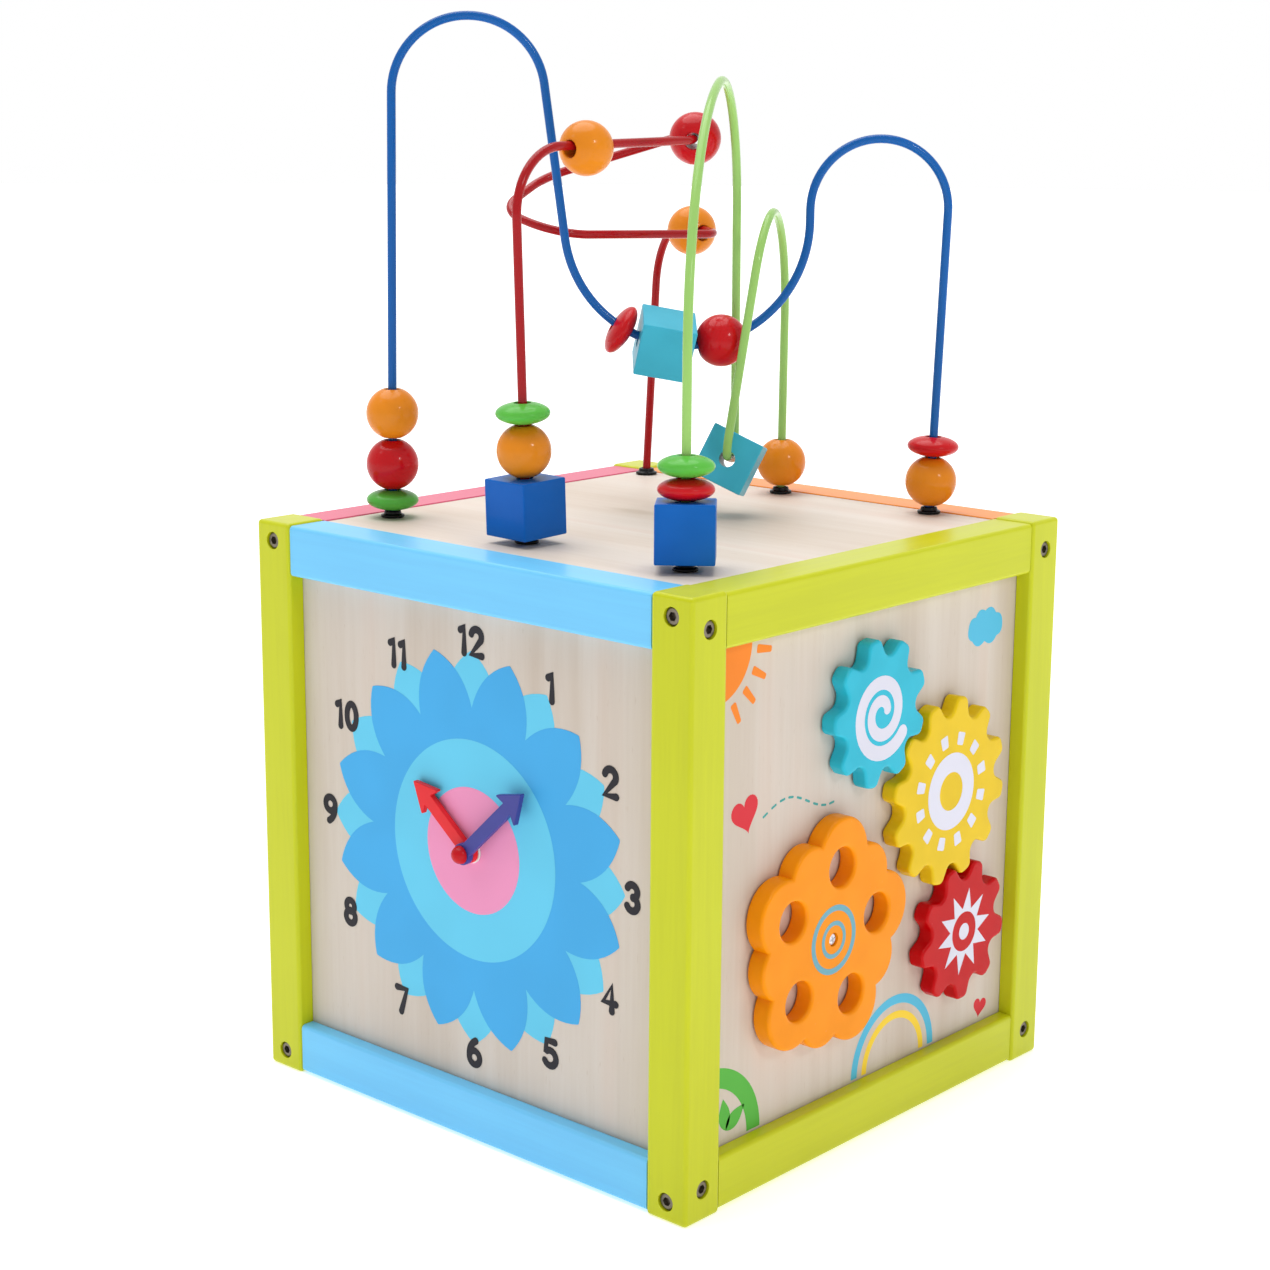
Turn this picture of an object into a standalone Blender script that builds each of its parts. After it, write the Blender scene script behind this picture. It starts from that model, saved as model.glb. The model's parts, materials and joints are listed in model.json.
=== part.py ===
# Wooden activity cube: a framed box with a clock, a gear train, sliders and a chalkboard on its
# sides, and a bead maze of three bent wires on its top. Sizes are in metres, Z is up, the origin
# is the middle of the footprint. The clock side faces -Y and the gear side faces +X.
import math

import bmesh
import bpy
from mathutils import Matrix, Vector

# Fits between pieces
FIT = 0.0003            # gap between pieces that touch
RUNNING_GAP = 0.0005    # gap behind a piece that turns or slides on a panel
WIRE_PLAY = 0.0004      # gap between a wire and the bore of a bead that hangs on it
MERGE = 1e-6
SHARP_ANGLE = math.radians(40)

# Frame of the box
BOX_SIDE = 0.300
POST_HEIGHT = 0.302
POST_SIZE = 0.025
POST_ROUND = 0.002
RAIL_HEIGHT = 0.0265
RAIL_INSET = 0.001      # rails stand back from the posts' faces and ends
RAIL_ROUND = 0.002
LEDGE_WIDTH = 0.008     # step inside the rails that carries the top and bottom panels
ROUND_STEPS = 2

# Panels
PANEL_THICKNESS = 0.005
PANEL_RECESS = 0.0095   # from the posts' outer face to a side panel's face
GROOVE_DEPTH = 0.0055
TOP_PANEL_DROP = 0.0005 # from the rails' top to the top panel's face

# Holes for the furniture screws that draw the rails to the posts
SCREW_INSETS = (0.010, 0.016)   # from a post's end: on the clock and board sides, on the others
SCREW_HOLE_DIAMETER = 0.0052
SCREW_HOLE_DEPTH = 0.042
SCREW_HOLE_SIDES = 8
COUNTERBORE_DIAMETER = 0.0092
COUNTERBORE_DEPTH = 0.0042
OVERCUT = 0.001         # how far a cutter stands past the face that it opens

# Bead maze wires: corners are (x, y, height over the top panel) in 125ths of the half width that
# the rails leave for the top panel, and the blue wire's are (distance along its upright plane,
# height)
WIRE_DIAMETER = 0.0046
WIRE_TAIL = 0.0095      # from the top panel's underside to a wire's end
CURVE_TOLERANCE = 0.0002
BLUE_FOOT = (-109.6, -91.0)
BLUE_HEADING = math.radians(46.54)
BLUE_CORNERS = ((0, 0), (2.9, 257.8), (76.0, 257.8), (98.7, 90.5), (219.5, 90.5),
                (219.5, 197.6), (293.6, 197.6), (287.5, 0))
BLUE_BENDS = (38.9, 38.9, 64.3, 64.3, 36.4, 36.4)
GREEN_CORNERS = ((100.3, -97.4, 0), (94.0, -90.6, 206.4), (-3.0, 61.1, 239.0), (-1.4, 61.3, 25.9),
                 (26.9, 19.4, 35.2), (29.5, 45.9, 160.8), (-15.6, 120.9, 155.1), (-12.2, 115.8, 0))
GREEN_BENDS = (131.8, 64.6, 13.8, 11.4, 35.9, 56.6)
RED_CORNERS = ((-4.8, -96.6, 0), (-4.7, -104.4, 193.5), (-9.2, 32.1, 196.2), (-35.1, 68.9, 200.9),
               (-94.6, 9.2, 175.3), (-90.4, -28.3, 159.2), (-53.5, -23.9, 147.6), (-38.0, 90.0, 144.6),
               (-81.7, 104.9, 147.7), (-106.2, 116.1, 138.0), (-113.5, 115.4, 0))
RED_BENDS = (32.2, 22.1, 18.5, 26.9, 15.5, 27.9, 13.7, 12.9, 38.5)

# Collars at the wires' feet
COLLAR_DIAMETER = 0.0125
COLLAR_HEIGHT = 0.0035
COLLAR_FLANGE = 0.0014  # height of the flange below the dome
COLLAR_TOP_DIAMETER = 0.009
FOOT_FIT = 0.0006       # the wires lean a little in their collars and holes

# Beads
BEAD_DIAMETER = 0.028
DISC_LENGTH = 0.0112
CUBE_SIZE = 0.0287
CUBE_ROUND = 0.0007
BEAD_BORE = 0.0086
BEAD_SIDES = 14
BEAD_STEPS = 7
DISC_STEPS = 5
BORE_SIDES = 12
RED_CUBE_TURN = math.radians(-3)        # a leg's cube, turned about its wire from the box's sides
GREEN_CUBE_TURN = math.radians(39)
TEAL_CUBE_TURN = math.radians(-25)      # a run's cube, turned about its wire from level
VALLEY_CUBE_TURN = math.radians(18)     # the dip's cube, turned about its wire from upright

# Clock hands, their pin and its spacer
HAND_THICKNESS = 0.0032
HAND_WIDTH = 0.007
HUB_DIAMETER = 0.011
HAND_BORE = 0.0046
HEAD_LENGTH = 0.0135
HEAD_WIDTH = 0.019
HEAD_BARB = 0.0019      # how far the head's barbs point back
HOUR_LENGTH = 0.0485
HOUR_ANGLE = math.radians(141.8)
MINUTE_LENGTH = 0.057
MINUTE_ANGLE = math.radians(43.3)
SPACER_THICKNESS = 0.001
SPACER_DIAMETER = 0.012
CLOCK_PIN_DIAMETER = 0.004
CLOCK_CAP_DIAMETER = 0.0094
CLOCK_CAP_HEIGHT = 0.0048
PIN_TAIL = 0.005        # from a panel's inner face to the end of a pin or a screw

# Gear train
GEAR_MODULE = 0.00781
GEAR_THICKNESS = 0.009
GEAR_EDGE = 0.0014
TOOTH_HEAD = 0.0028     # from the pitch circle to a tooth's tip
TOOTH_ROUND = 0.004
TOOTH_FLAT = 0.0015     # half of the straight part of a tooth's head
VALLEY_ROUND = 0.0053
ARC_STEPS = 2
YELLOW_TEETH = 12
YELLOW_TOOTH_FOOT = 0.0066
SMALL_TEETH = 9
SMALL_TOOTH_FOOT = 0.0059
TEAL_HEADING = math.radians(139.7)      # from the yellow gear's middle
RED_HEADING = math.radians(-78.3)
WHEELS_SPARE = (0.62, 0.637)            # shares of the window's spare room: left of the wheels, below them
AXLE_DIAMETER = 0.008
AXLE_FIT = 0.0004
AXLE_BORE_DEPTH = 0.0065
FLANGE_DIAMETER = 0.016
FLANGE_THICKNESS = 0.002

# Flower wheel with finger holes
FLOWER_OFFSET = (-0.0994, -0.0543)      # from the yellow gear's middle
FLOWER_THICKNESS = 0.0105
FLOWER_EDGE = 0.0016
PETALS = 5
PETAL_HEADING = math.radians(79.9)
LARGE_PETAL = (0.042, 0.0195)           # distance of the petal's centre, its radius
SMALL_PETAL = (0.0388, 0.0162)
PETAL_STEPS = 6
FINGER_HOLE_DIAMETER = 0.0202
FINGER_HOLE_DISTANCE = 0.0361
FINGER_HOLE_SIDES = 16
WHEEL_SCREW_HEAD = 0.0062
WHEEL_SCREW_HEAD_HEIGHT = 0.0022
WHEEL_SCREW_RECESS = 0.004
WHEEL_SCREW_SHANK = 0.004

# Slider side
SLOT_LENGTH = 0.158
SLOT_WIDTH = 0.0094
SLOT_SPACING = 0.090
KNOB_PLACES = (-0.030, 0.030)
KNOB_DIAMETER = 0.030
KNOB_HEIGHT = 0.013
KNOB_EDGE = 0.0035
KNOB_SIDES = 16
STEM_DIAMETER = 0.0084
KEEPER_DIAMETER = 0.020
KEEPER_THICKNESS = 0.003

HALF = BOX_SIDE / 2
POST_MIDDLE = HALF - POST_SIZE / 2
WINDOW_HALF = HALF - POST_SIZE
PANEL_FACE = HALF - PANEL_RECESS
PANEL_BACK = PANEL_FACE - PANEL_THICKNESS
RAIL_TOP = POST_HEIGHT - RAIL_INSET
WINDOW_TOP = RAIL_TOP - RAIL_HEIGHT
WINDOW_BOTTOM = POST_HEIGHT - WINDOW_TOP
TONGUE = GROOVE_DEPTH - FIT
TOP_FACE = RAIL_TOP - TOP_PANEL_DROP
TOP_UNDERSIDE = TOP_FACE - PANEL_THICKNESS
MAZE_UNIT = WINDOW_HALF / 125
CLOCK_HEIGHT = POST_HEIGHT / 2
SLOT_HEIGHTS = (CLOCK_HEIGHT + SLOT_SPACING / 2, CLOCK_HEIGHT - SLOT_SPACING / 2)

FRONT, RIGHT, BACK, LEFT = range(4)
SIDE_NAMES = ("front", "right", "back", "left")


# Materials

def paint(name, colour, roughness, metallic=0.0):
    material = bpy.data.materials.new(name)
    material.use_nodes = True
    shader = material.node_tree.nodes["Principled BSDF"]
    shader.inputs["Base Color"].default_value = (*colour, 1.0)
    shader.inputs["Roughness"].default_value = roughness
    shader.inputs["Metallic"].default_value = metallic
    return material


def make_paints():
    lacquer = {
        "lime": (0.61, 0.70, 0.03),
        "sky_blue": (0.20, 0.64, 0.97),
        "pink": (0.75, 0.18, 0.29),
        "orange": (0.87, 0.28, 0.02),
        "yellow": (0.95, 0.70, 0.03),
        "red": (0.62, 0.02, 0.03),
        "green": (0.11, 0.51, 0.07),
        "blue": (0.02, 0.14, 0.51),
        "teal": (0.08, 0.48, 0.65),
        "violet": (0.08, 0.08, 0.30),
        "wire_blue": (0.01, 0.11, 0.40),
        "wire_green": (0.33, 0.61, 0.16),
        "wire_red": (0.43, 0.02, 0.02),
    }
    paints = {name: paint(name, colour, 0.3) for name, colour in lacquer.items()}
    paints["birch"] = paint("birch", (0.73, 0.63, 0.51), 0.55)
    paints["slate"] = paint("slate", (0.03, 0.035, 0.04), 0.8)
    paints["black"] = paint("black", (0.01, 0.01, 0.01), 0.15)
    paints["white"] = paint("white", (0.85, 0.85, 0.83), 0.4)
    paints["steel"] = paint("steel", (0.55, 0.55, 0.56), 0.3, 1.0)
    return paints


# Objects, places and cuts

def link(name, bm, matrix, material=None):
    mesh = bpy.data.meshes.new(name)
    bmesh.ops.recalc_face_normals(bm, faces=bm.faces)
    bm.to_mesh(mesh)
    bm.free()
    mesh.shade_smooth()
    mesh.set_sharp_from_angle(angle=SHARP_ANGLE)
    if material:
        mesh.materials.append(material)
    item = bpy.data.objects.new(name, mesh)
    item.matrix_world = matrix
    bpy.context.scene.collection.objects.link(item)
    return item


def link_cutter(name, bm, matrix):
    item = link(name, bm, matrix)
    item.hide_render = True
    item.display_type = "WIRE"
    return item


def merge(bm, other, matrix=Matrix()):
    """Adds a second mesh to the first, placed by a matrix."""
    other.transform(matrix)
    spare = bpy.data.meshes.new("spare")
    other.to_mesh(spare)
    other.free()
    bm.from_mesh(spare)
    bpy.data.meshes.remove(spare)


def cut(item, cutter):
    modifier = item.modifiers.new(cutter.name, "BOOLEAN")
    modifier.operation = "DIFFERENCE"
    modifier.object = cutter
    return item


def side_matrix(side):
    """Turns something built for the clock side to another side of the box."""
    return Matrix.Rotation(side * math.pi / 2, 4, "Z")


def face_matrix(side, across, height, proud):
    """Local X runs right, Y up and Z out of a side panel's face."""
    place = Matrix.Translation((across, -(PANEL_FACE + proud), height))
    return side_matrix(side) @ place @ Matrix.Rotation(math.pi / 2, 4, "X")


def upright(direction):
    """The smallest turn that stands local Z along a direction."""
    return Vector((0, 0, 1)).rotation_difference(direction).to_matrix().to_4x4()


def lying(direction):
    """A turn that lays local Z along a direction and keeps local X on the upper side."""
    return Vector(direction).to_track_quat("Z", "X").to_matrix().to_4x4()


# Outlines and routes

def round_corners(corners, radii, tolerance, closed=False):
    """The corners as points, each bend an arc that leaves its curve by no more than the tolerance."""
    corners = [Vector(corner) for corner in corners]
    count = len(corners)
    points = []
    for i, corner in enumerate(corners):
        radius = radii[i]
        if radius == 0 or (not closed and i in (0, count - 1)):
            points.append(corner)
            continue
        toward = (corners[i - 1] - corner)
        away = (corners[(i + 1) % count] - corner)
        turn = math.pi - toward.angle(away)
        reach = radius * math.tan(turn / 2)
        start = corner + toward.normalized() * reach
        bisector = (toward.normalized() + away.normalized()).normalized()
        centre = corner + bisector * radius / math.cos(turn / 2)
        arm = start - centre
        side = -toward.normalized()
        steps = max(2, math.ceil(turn / (2 * math.acos(1 - tolerance / radius))))
        for j in range(steps + 1):
            angle = turn * j / steps
            points.append(centre + arm * math.cos(angle) + side * radius * math.sin(angle))
    merged = points[:1]
    for point in points[1:]:
        if (point - merged[-1]).length > 2 * tolerance:
            merged.append(point)
    return merged


def arc(centre, radius, start, end, steps):
    return [
        (centre[0] + radius * math.cos(start + (end - start) * i / steps),
         centre[1] + radius * math.sin(start + (end - start) * i / steps))
        for i in range(steps + 1)
    ]


def turn_points(points, angle):
    cosine, sine = math.cos(angle), math.sin(angle)
    return [(x * cosine - y * sine, x * sine + y * cosine) for x, y in points]


def bore_radius(diameter, sides):
    """Radius of a polygon's corners whose flats clear a round of this diameter."""
    return diameter / 2 / math.cos(math.pi / sides)


# Solids

def brick(bm, low, high):
    size = Vector(high) - Vector(low)
    matrix = Matrix.Translation((Vector(high) + Vector(low)) / 2) @ Matrix.Diagonal((*size, 1))
    return bmesh.ops.create_cube(bm, size=1, matrix=matrix)["verts"]


def turned(bm, profile, sides, ring=False):
    """A profile of (radius, height) points turned round local Z; a ring's profile is closed."""
    verts = [bm.verts.new((radius, 0, height)) for radius, height in profile]
    edges = [bm.edges.new(pair) for pair in zip(verts, verts[1:])]
    if ring:
        edges.append(bm.edges.new((verts[-1], verts[0])))
    bmesh.ops.spin(bm, geom=verts + edges, cent=(0, 0, 0), axis=(0, 0, 1), angle=2 * math.pi,
                   steps=sides, use_merge=True)
    bmesh.ops.remove_doubles(bm, verts=bm.verts, dist=MERGE)
    return bm


def rod(bm, diameter, bottom, top, sides, matrix=Matrix()):
    place = matrix @ Matrix.Translation((0, 0, (bottom + top) / 2))
    bmesh.ops.create_cone(bm, cap_ends=True, segments=sides, radius1=diameter / 2,
                          radius2=diameter / 2, depth=top - bottom, matrix=place)
    return bm


def prism(bm, outline, bottom, top, edge=0.0):
    """An outline raised from one height to another, with its rims cut back at an angle."""
    face = bm.faces.new([bm.verts.new((x, y, bottom)) for x, y in outline])
    raised = bmesh.ops.extrude_face_region(bm, geom=[face])["geom"]
    verts = [part for part in raised if isinstance(part, bmesh.types.BMVert)]
    bmesh.ops.translate(bm, verts=verts, vec=(0, 0, top - bottom))
    if edge:
        middle = (bottom + top) / 2
        rims = [e for e in bm.edges if abs(e.verts[0].co.z - e.verts[1].co.z) < MERGE
                and abs(e.verts[0].co.z - middle) > (top - bottom) / 4]
        bmesh.ops.bevel(bm, geom=rims, offset=edge, segments=1, profile=0.5, affect="EDGES",
                        material=-1)
    return bm


def long_prism(bm, outline, low, high):
    """An outline of (y, z) points drawn out along X."""
    face = bm.faces.new([bm.verts.new((low, y, z)) for y, z in outline])
    drawn = bmesh.ops.extrude_face_region(bm, geom=[face])["geom"]
    verts = [part for part in drawn if isinstance(part, bmesh.types.BMVert)]
    bmesh.ops.translate(bm, verts=verts, vec=(high - low, 0, 0))
    return bm


# The frame: posts, rails and the screws that join them

def screw_places(side):
    """Where the four screws of a side stand: across, height."""
    inset = SCREW_INSETS[side % 2]
    return [(across, height) for across in (-POST_MIDDLE, POST_MIDDLE)
            for height in (inset, POST_HEIGHT - inset)]


def screw_matrix(side, across, height):
    """Local Z runs into the wood from the post's face."""
    place = Matrix.Translation((across, -HALF, height))
    return side_matrix(side) @ place @ Matrix.Rotation(-math.pi / 2, 4, "X")


def screw_hole_profile():
    hole, counterbore = SCREW_HOLE_DIAMETER / 2, COUNTERBORE_DIAMETER / 2
    return [(0, -OVERCUT), (counterbore, -OVERCUT), (counterbore, COUNTERBORE_DEPTH),
            (hole, COUNTERBORE_DEPTH), (hole, SCREW_HOLE_DEPTH), (0, SCREW_HOLE_DEPTH)]


def screw_cutters():
    """One cutter for each post: the left screws of its own side, the right ones of the side before."""
    cutters = []
    for post in range(4):
        holes = bmesh.new()
        before = (post - 1) % 4
        places = [(post, a, h) for a, h in screw_places(post) if a < 0]
        places += [(before, a, h) for a, h in screw_places(before) if a > 0]
        for side, across, height in places:
            hole = turned(bmesh.new(), screw_hole_profile(), SCREW_HOLE_SIDES)
            merge(holes, hole, screw_matrix(side, across, height))
        cutters.append(link_cutter(f"screw_holes_{post}", holes, Matrix()))
    return cutters


def post_grooves(post):
    """Stopped grooves for the two side panels that meet in a post."""
    near, far = PANEL_FACE + FIT, PANEL_BACK - FIT
    open_side, deep_side = WINDOW_HALF - FIT, WINDOW_HALF + GROOVE_DEPTH
    bottom, top = WINDOW_BOTTOM - GROOVE_DEPTH, WINDOW_TOP + GROOVE_DEPTH
    bm = bmesh.new()
    brick(bm, (-deep_side, -near, bottom), (-open_side, -far, top))
    brick(bm, (-near, -deep_side, bottom), (-far, -open_side, top))
    return link_cutter(f"post_grooves_{post}", bm, side_matrix(post))


def make_posts(paints, holes):
    names = ("post_front_left", "post_front_right", "post_back_right", "post_back_left")
    for post, name in enumerate(names):
        bm = bmesh.new()
        brick(bm, (-HALF, -HALF, 0), (-WINDOW_HALF, -WINDOW_HALF, POST_HEIGHT))
        bmesh.ops.bevel(bm, geom=bm.edges[:], offset=POST_ROUND, segments=ROUND_STEPS, profile=0.5,
                        affect="EDGES", material=-1)
        item = link(name, bm, side_matrix(post), paints["lime"])
        cut(item, post_grooves(post))
        cut(item, holes[post])


def rail_outline(mirrored):
    """Cross-section of a rail in (y, z): rounded outside, grooved for its side panel, and stepped
    inside for the top panel. The bottom rail is the same moulding turned over."""
    outer = -(HALF - RAIL_INSET)
    groove_out, groove_in = -(PANEL_FACE + FIT), -(PANEL_BACK - FIT)
    groove_top = WINDOW_TOP + GROOVE_DEPTH
    inner, ledge = -WINDOW_HALF, -(WINDOW_HALF - LEDGE_WIDTH)
    ledge_top = TOP_UNDERSIDE - FIT
    corners = [(outer, WINDOW_TOP), (groove_out, WINDOW_TOP), (groove_out, groove_top),
               (groove_in, groove_top), (groove_in, WINDOW_TOP), (ledge, WINDOW_TOP),
               (ledge, ledge_top), (inner, ledge_top), (inner, RAIL_TOP), (outer, RAIL_TOP)]
    radii = [RAIL_ROUND, 0, 0, 0, 0, 0, 0, 0, 0, RAIL_ROUND]
    points = round_corners([(y, z, 0) for y, z in corners], radii, CURVE_TOLERANCE * 2, closed=True)
    if mirrored:
        return [(point.x, POST_HEIGHT - point.y) for point in points]
    return [(point.x, point.y) for point in points]


def rail_notches(side):
    """Room at both ends of a rail's step for the steps of the rails that it meets."""
    reach = WINDOW_HALF - LEDGE_WIDTH
    bm = bmesh.new()
    for sign in (-1, 1):
        ends = sorted((sign * (reach - FIT), sign * HALF))
        brick(bm, (ends[0], -WINDOW_HALF - MERGE, -FIT), (ends[1], -reach + FIT, POST_HEIGHT))
    return link_cutter(f"rail_notches_{SIDE_NAMES[side]}", bm, side_matrix(side))


def wire_holes(feet):
    """Holes for the wires' ends, through the top panel and into a rail's step below it."""
    holes = bmesh.new()
    diameter = 2 * bore_radius(WIRE_DIAMETER + 2 * FOOT_FIT, BORE_SIDES)
    for foot in feet:
        middle = foot["point"] - foot["up"] * (PANEL_THICKNESS / 2 / foot["up"].z)
        rod(holes, diameter, TOP_UNDERSIDE - WIRE_TAIL - OVERCUT, TOP_FACE + OVERCUT, BORE_SIDES,
            Matrix.Translation((middle.x, middle.y, 0)))
    return link_cutter("wire_holes", holes, Matrix())


def make_rails(paints, holes, foot_holes):
    colours = ("sky_blue", "lime", "orange", "pink")
    end = WINDOW_HALF - FIT
    for side, side_name in enumerate(SIDE_NAMES):
        notches = rail_notches(side) if side % 2 else None
        for level in ("top", "bottom"):
            bm = long_prism(bmesh.new(), rail_outline(level == "bottom"), -end, end)
            item = link(f"rail_{side_name}_{level}", bm, side_matrix(side), paints[colours[side]])
            if notches:
                cut(item, notches)
            cut(item, holes[side])
            cut(item, holes[(side + 1) % 4])
            if level == "top":
                cut(item, foot_holes)


# Panels

def panel_brick(bm):
    half = WINDOW_HALF + TONGUE
    brick(bm, (-half, -PANEL_FACE, WINDOW_BOTTOM - TONGUE), (half, -PANEL_BACK, WINDOW_TOP + TONGUE))
    return bm


def panel_holes(name, side, holes):
    """Round holes through a side panel: (across, height, diameter)."""
    bm = bmesh.new()
    for across, height, diameter in holes:
        hole = Matrix.Translation((across, -PANEL_FACE, height)) @ Matrix.Rotation(math.pi / 2, 4, "X")
        bore = 2 * bore_radius(diameter, BORE_SIDES)
        rod(bm, bore, -PANEL_THICKNESS - OVERCUT, OVERCUT, BORE_SIDES, hole)
    return link_cutter(name, bm, side_matrix(side))


def slot_outline():
    straight = (SLOT_LENGTH - SLOT_WIDTH) / 2
    radius = SLOT_WIDTH / 2
    quarter = math.pi / 2
    return (arc((straight, 0), radius, -quarter, quarter, 5)
            + arc((-straight, 0), radius, quarter, 3 * quarter, 5))


def make_side_panels(paints, gears, flower_place):
    link("panel_back", panel_brick(bmesh.new()), side_matrix(BACK), paints["slate"])
    clock = link("panel_front", panel_brick(bmesh.new()), side_matrix(FRONT), paints["birch"])
    cut(clock, panel_holes("clock_hole", FRONT, [(0, CLOCK_HEIGHT, CLOCK_PIN_DIAMETER + 2 * FIT)]))
    gear_panel = link("panel_right", panel_brick(bmesh.new()), side_matrix(RIGHT), paints["birch"])
    holes = [(*gear["place"], AXLE_DIAMETER + 2 * FIT) for gear in gears]
    holes.append((*flower_place, WHEEL_SCREW_SHANK + 2 * FIT))
    cut(gear_panel, panel_holes("axle_holes", RIGHT, holes))
    slots = bmesh.new()
    for height in SLOT_HEIGHTS:
        slot = prism(bmesh.new(), slot_outline(), -PANEL_THICKNESS - OVERCUT, OVERCUT)
        merge(slots, slot, face_matrix(FRONT, 0, height, 0))
    slider_panel = link("panel_left", panel_brick(bmesh.new()), side_matrix(LEFT), paints["birch"])
    cut(slider_panel, link_cutter("slots", slots, side_matrix(LEFT)))


def make_level_panels(paints, foot_holes):
    half = WINDOW_HALF - FIT
    bm = bmesh.new()
    brick(bm, (-half, -half, TOP_UNDERSIDE), (half, half, TOP_FACE))
    cut(link("panel_top", bm, Matrix(), paints["birch"]), foot_holes)
    bm = bmesh.new()
    brick(bm, (-half, -half, POST_HEIGHT - TOP_FACE), (half, half, POST_HEIGHT - TOP_UNDERSIDE))
    link("panel_bottom", bm, Matrix(), paints["birch"])


# Bead maze wires

def lift(corners):
    """Corners over the top panel as points in metres."""
    return [Vector((x, y, height)) * MAZE_UNIT + Vector((0, 0, TOP_FACE)) for x, y, height in corners]


def blue_corners():
    heading = (math.cos(BLUE_HEADING), math.sin(BLUE_HEADING))
    return [(BLUE_FOOT[0] + along * heading[0], BLUE_FOOT[1] + along * heading[1], height)
            for along, height in BLUE_CORNERS]


def wire_ends(corners):
    """The wire's feet on the top panel, each with the direction of its leg."""
    return [{"point": corners[0], "up": (corners[1] - corners[0]).normalized()},
            {"point": corners[-1], "up": (corners[-2] - corners[-1]).normalized()}]


def make_wire(name, corners, bends, material):
    """A bent wire whose ends run on below the top panel."""
    feet = wire_ends(corners)
    tail = PANEL_THICKNESS + WIRE_TAIL
    route = list(corners)
    for index, foot in ((0, feet[0]), (-1, feet[1])):
        route[index] = foot["point"] - foot["up"] * tail
    points = round_corners(route, [0, *(bend * MAZE_UNIT for bend in bends), 0], CURVE_TOLERANCE)
    curve = bpy.data.curves.new(name, "CURVE")
    curve.dimensions = "3D"
    curve.bevel_depth = WIRE_DIAMETER / 2
    curve.bevel_resolution = 2
    curve.use_fill_caps = True
    spline = curve.splines.new("POLY")
    spline.points.add(len(points) - 1)
    for spot, point in zip(spline.points, points):
        spot.co = (*point, 1)
    curve.materials.append(material)
    item = bpy.data.objects.new(name, curve)
    bpy.context.scene.collection.objects.link(item)
    return feet


def collar_profile():
    """A domed collar with a flange on the panel."""
    bore = bore_radius(WIRE_DIAMETER + 2 * FOOT_FIT, BORE_SIDES)
    outer = COLLAR_DIAMETER / 2
    foot = FIT
    return [(bore, foot), (outer, foot), (outer, foot + COLLAR_FLANGE),
            (COLLAR_TOP_DIAMETER / 2, foot + COLLAR_HEIGHT), (bore, foot + COLLAR_HEIGHT)]


def make_collars(paints, feet):
    for index, foot in enumerate(feet):
        middle = foot["point"] + foot["up"] * (COLLAR_HEIGHT / 2 / foot["up"].z)
        collar = turned(bmesh.new(), collar_profile(), BORE_SIDES, ring=True)
        link(f"wire_collar_{index + 1}", collar, Matrix.Translation((middle.x, middle.y, TOP_FACE)),
             paints["black"])


# Beads

def round_bead(length, steps):
    """An ellipse turned round its bore; as long as it is wide it is a ball."""
    bore = bore_radius(BEAD_BORE, BEAD_SIDES)
    wide, tall = BEAD_DIAMETER / 2, length / 2
    start = math.asin(bore / wide)
    profile = []
    for i in range(steps + 1):
        angle = start + (math.pi - 2 * start) * i / steps
        profile.append((wide * math.sin(angle), tall * math.cos(angle)))
    return turned(bmesh.new(), profile, BEAD_SIDES, ring=True)


def bead_reach(kind):
    """Half the length of a bead along its bore."""
    if kind == "cube":
        return CUBE_SIZE / 2
    bore = bore_radius(BEAD_BORE, BEAD_SIDES)
    length = BEAD_DIAMETER if kind == "ball" else DISC_LENGTH
    return length / 2 * math.sqrt(1 - (2 * bore / BEAD_DIAMETER) ** 2)


def make_bead(name, kind, matrix, material):
    if kind == "cube":
        bm = bmesh.new()
        half = CUBE_SIZE / 2
        brick(bm, (-half, -half, -half), (half, half, half))
        bmesh.ops.bevel(bm, geom=bm.edges[:], offset=CUBE_ROUND, segments=1, profile=0.5,
                        affect="EDGES", material=-1)
        item = link(name, bm, matrix, material)
        bore = rod(bmesh.new(), 2 * bore_radius(BEAD_BORE, BORE_SIDES), -CUBE_SIZE, CUBE_SIZE, BORE_SIDES)
        cut(item, link_cutter(name + "_bore", bore, matrix))
        return item
    if kind == "ball":
        return link(name, round_bead(BEAD_DIAMETER, BEAD_STEPS), matrix, material)
    return link(name, round_bead(DISC_LENGTH, DISC_STEPS), matrix, material)


def stack_beads(foot, beads, paints):
    """Beads that stand on a collar, in line with the leg: (name, kind, paint, turn about the bore)."""
    tilt = COLLAR_DIAMETER / 2 * math.tan(foot["up"].angle(Vector((0, 0, 1))))
    height = FIT + COLLAR_HEIGHT + FIT + tilt
    for name, kind, colour, turn in beads:
        height += bead_reach(kind)
        matrix = (Matrix.Translation(foot["point"] + foot["up"] * height) @ upright(foot["up"])
                  @ Matrix.Rotation(turn, 4, "Z"))
        make_bead(name, kind, matrix, paints[colour])
        height += bead_reach(kind) + FIT


def bore_slack():
    """How far a bead's bore can sit off the wire's axis."""
    return BEAD_BORE / 2 - WIRE_DIAMETER / 2 - WIRE_PLAY


def rise(radius, reach):
    """How far a bend of this radius leaves its tangent after a distance."""
    return radius - math.sqrt(radius ** 2 - reach ** 2)


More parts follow.
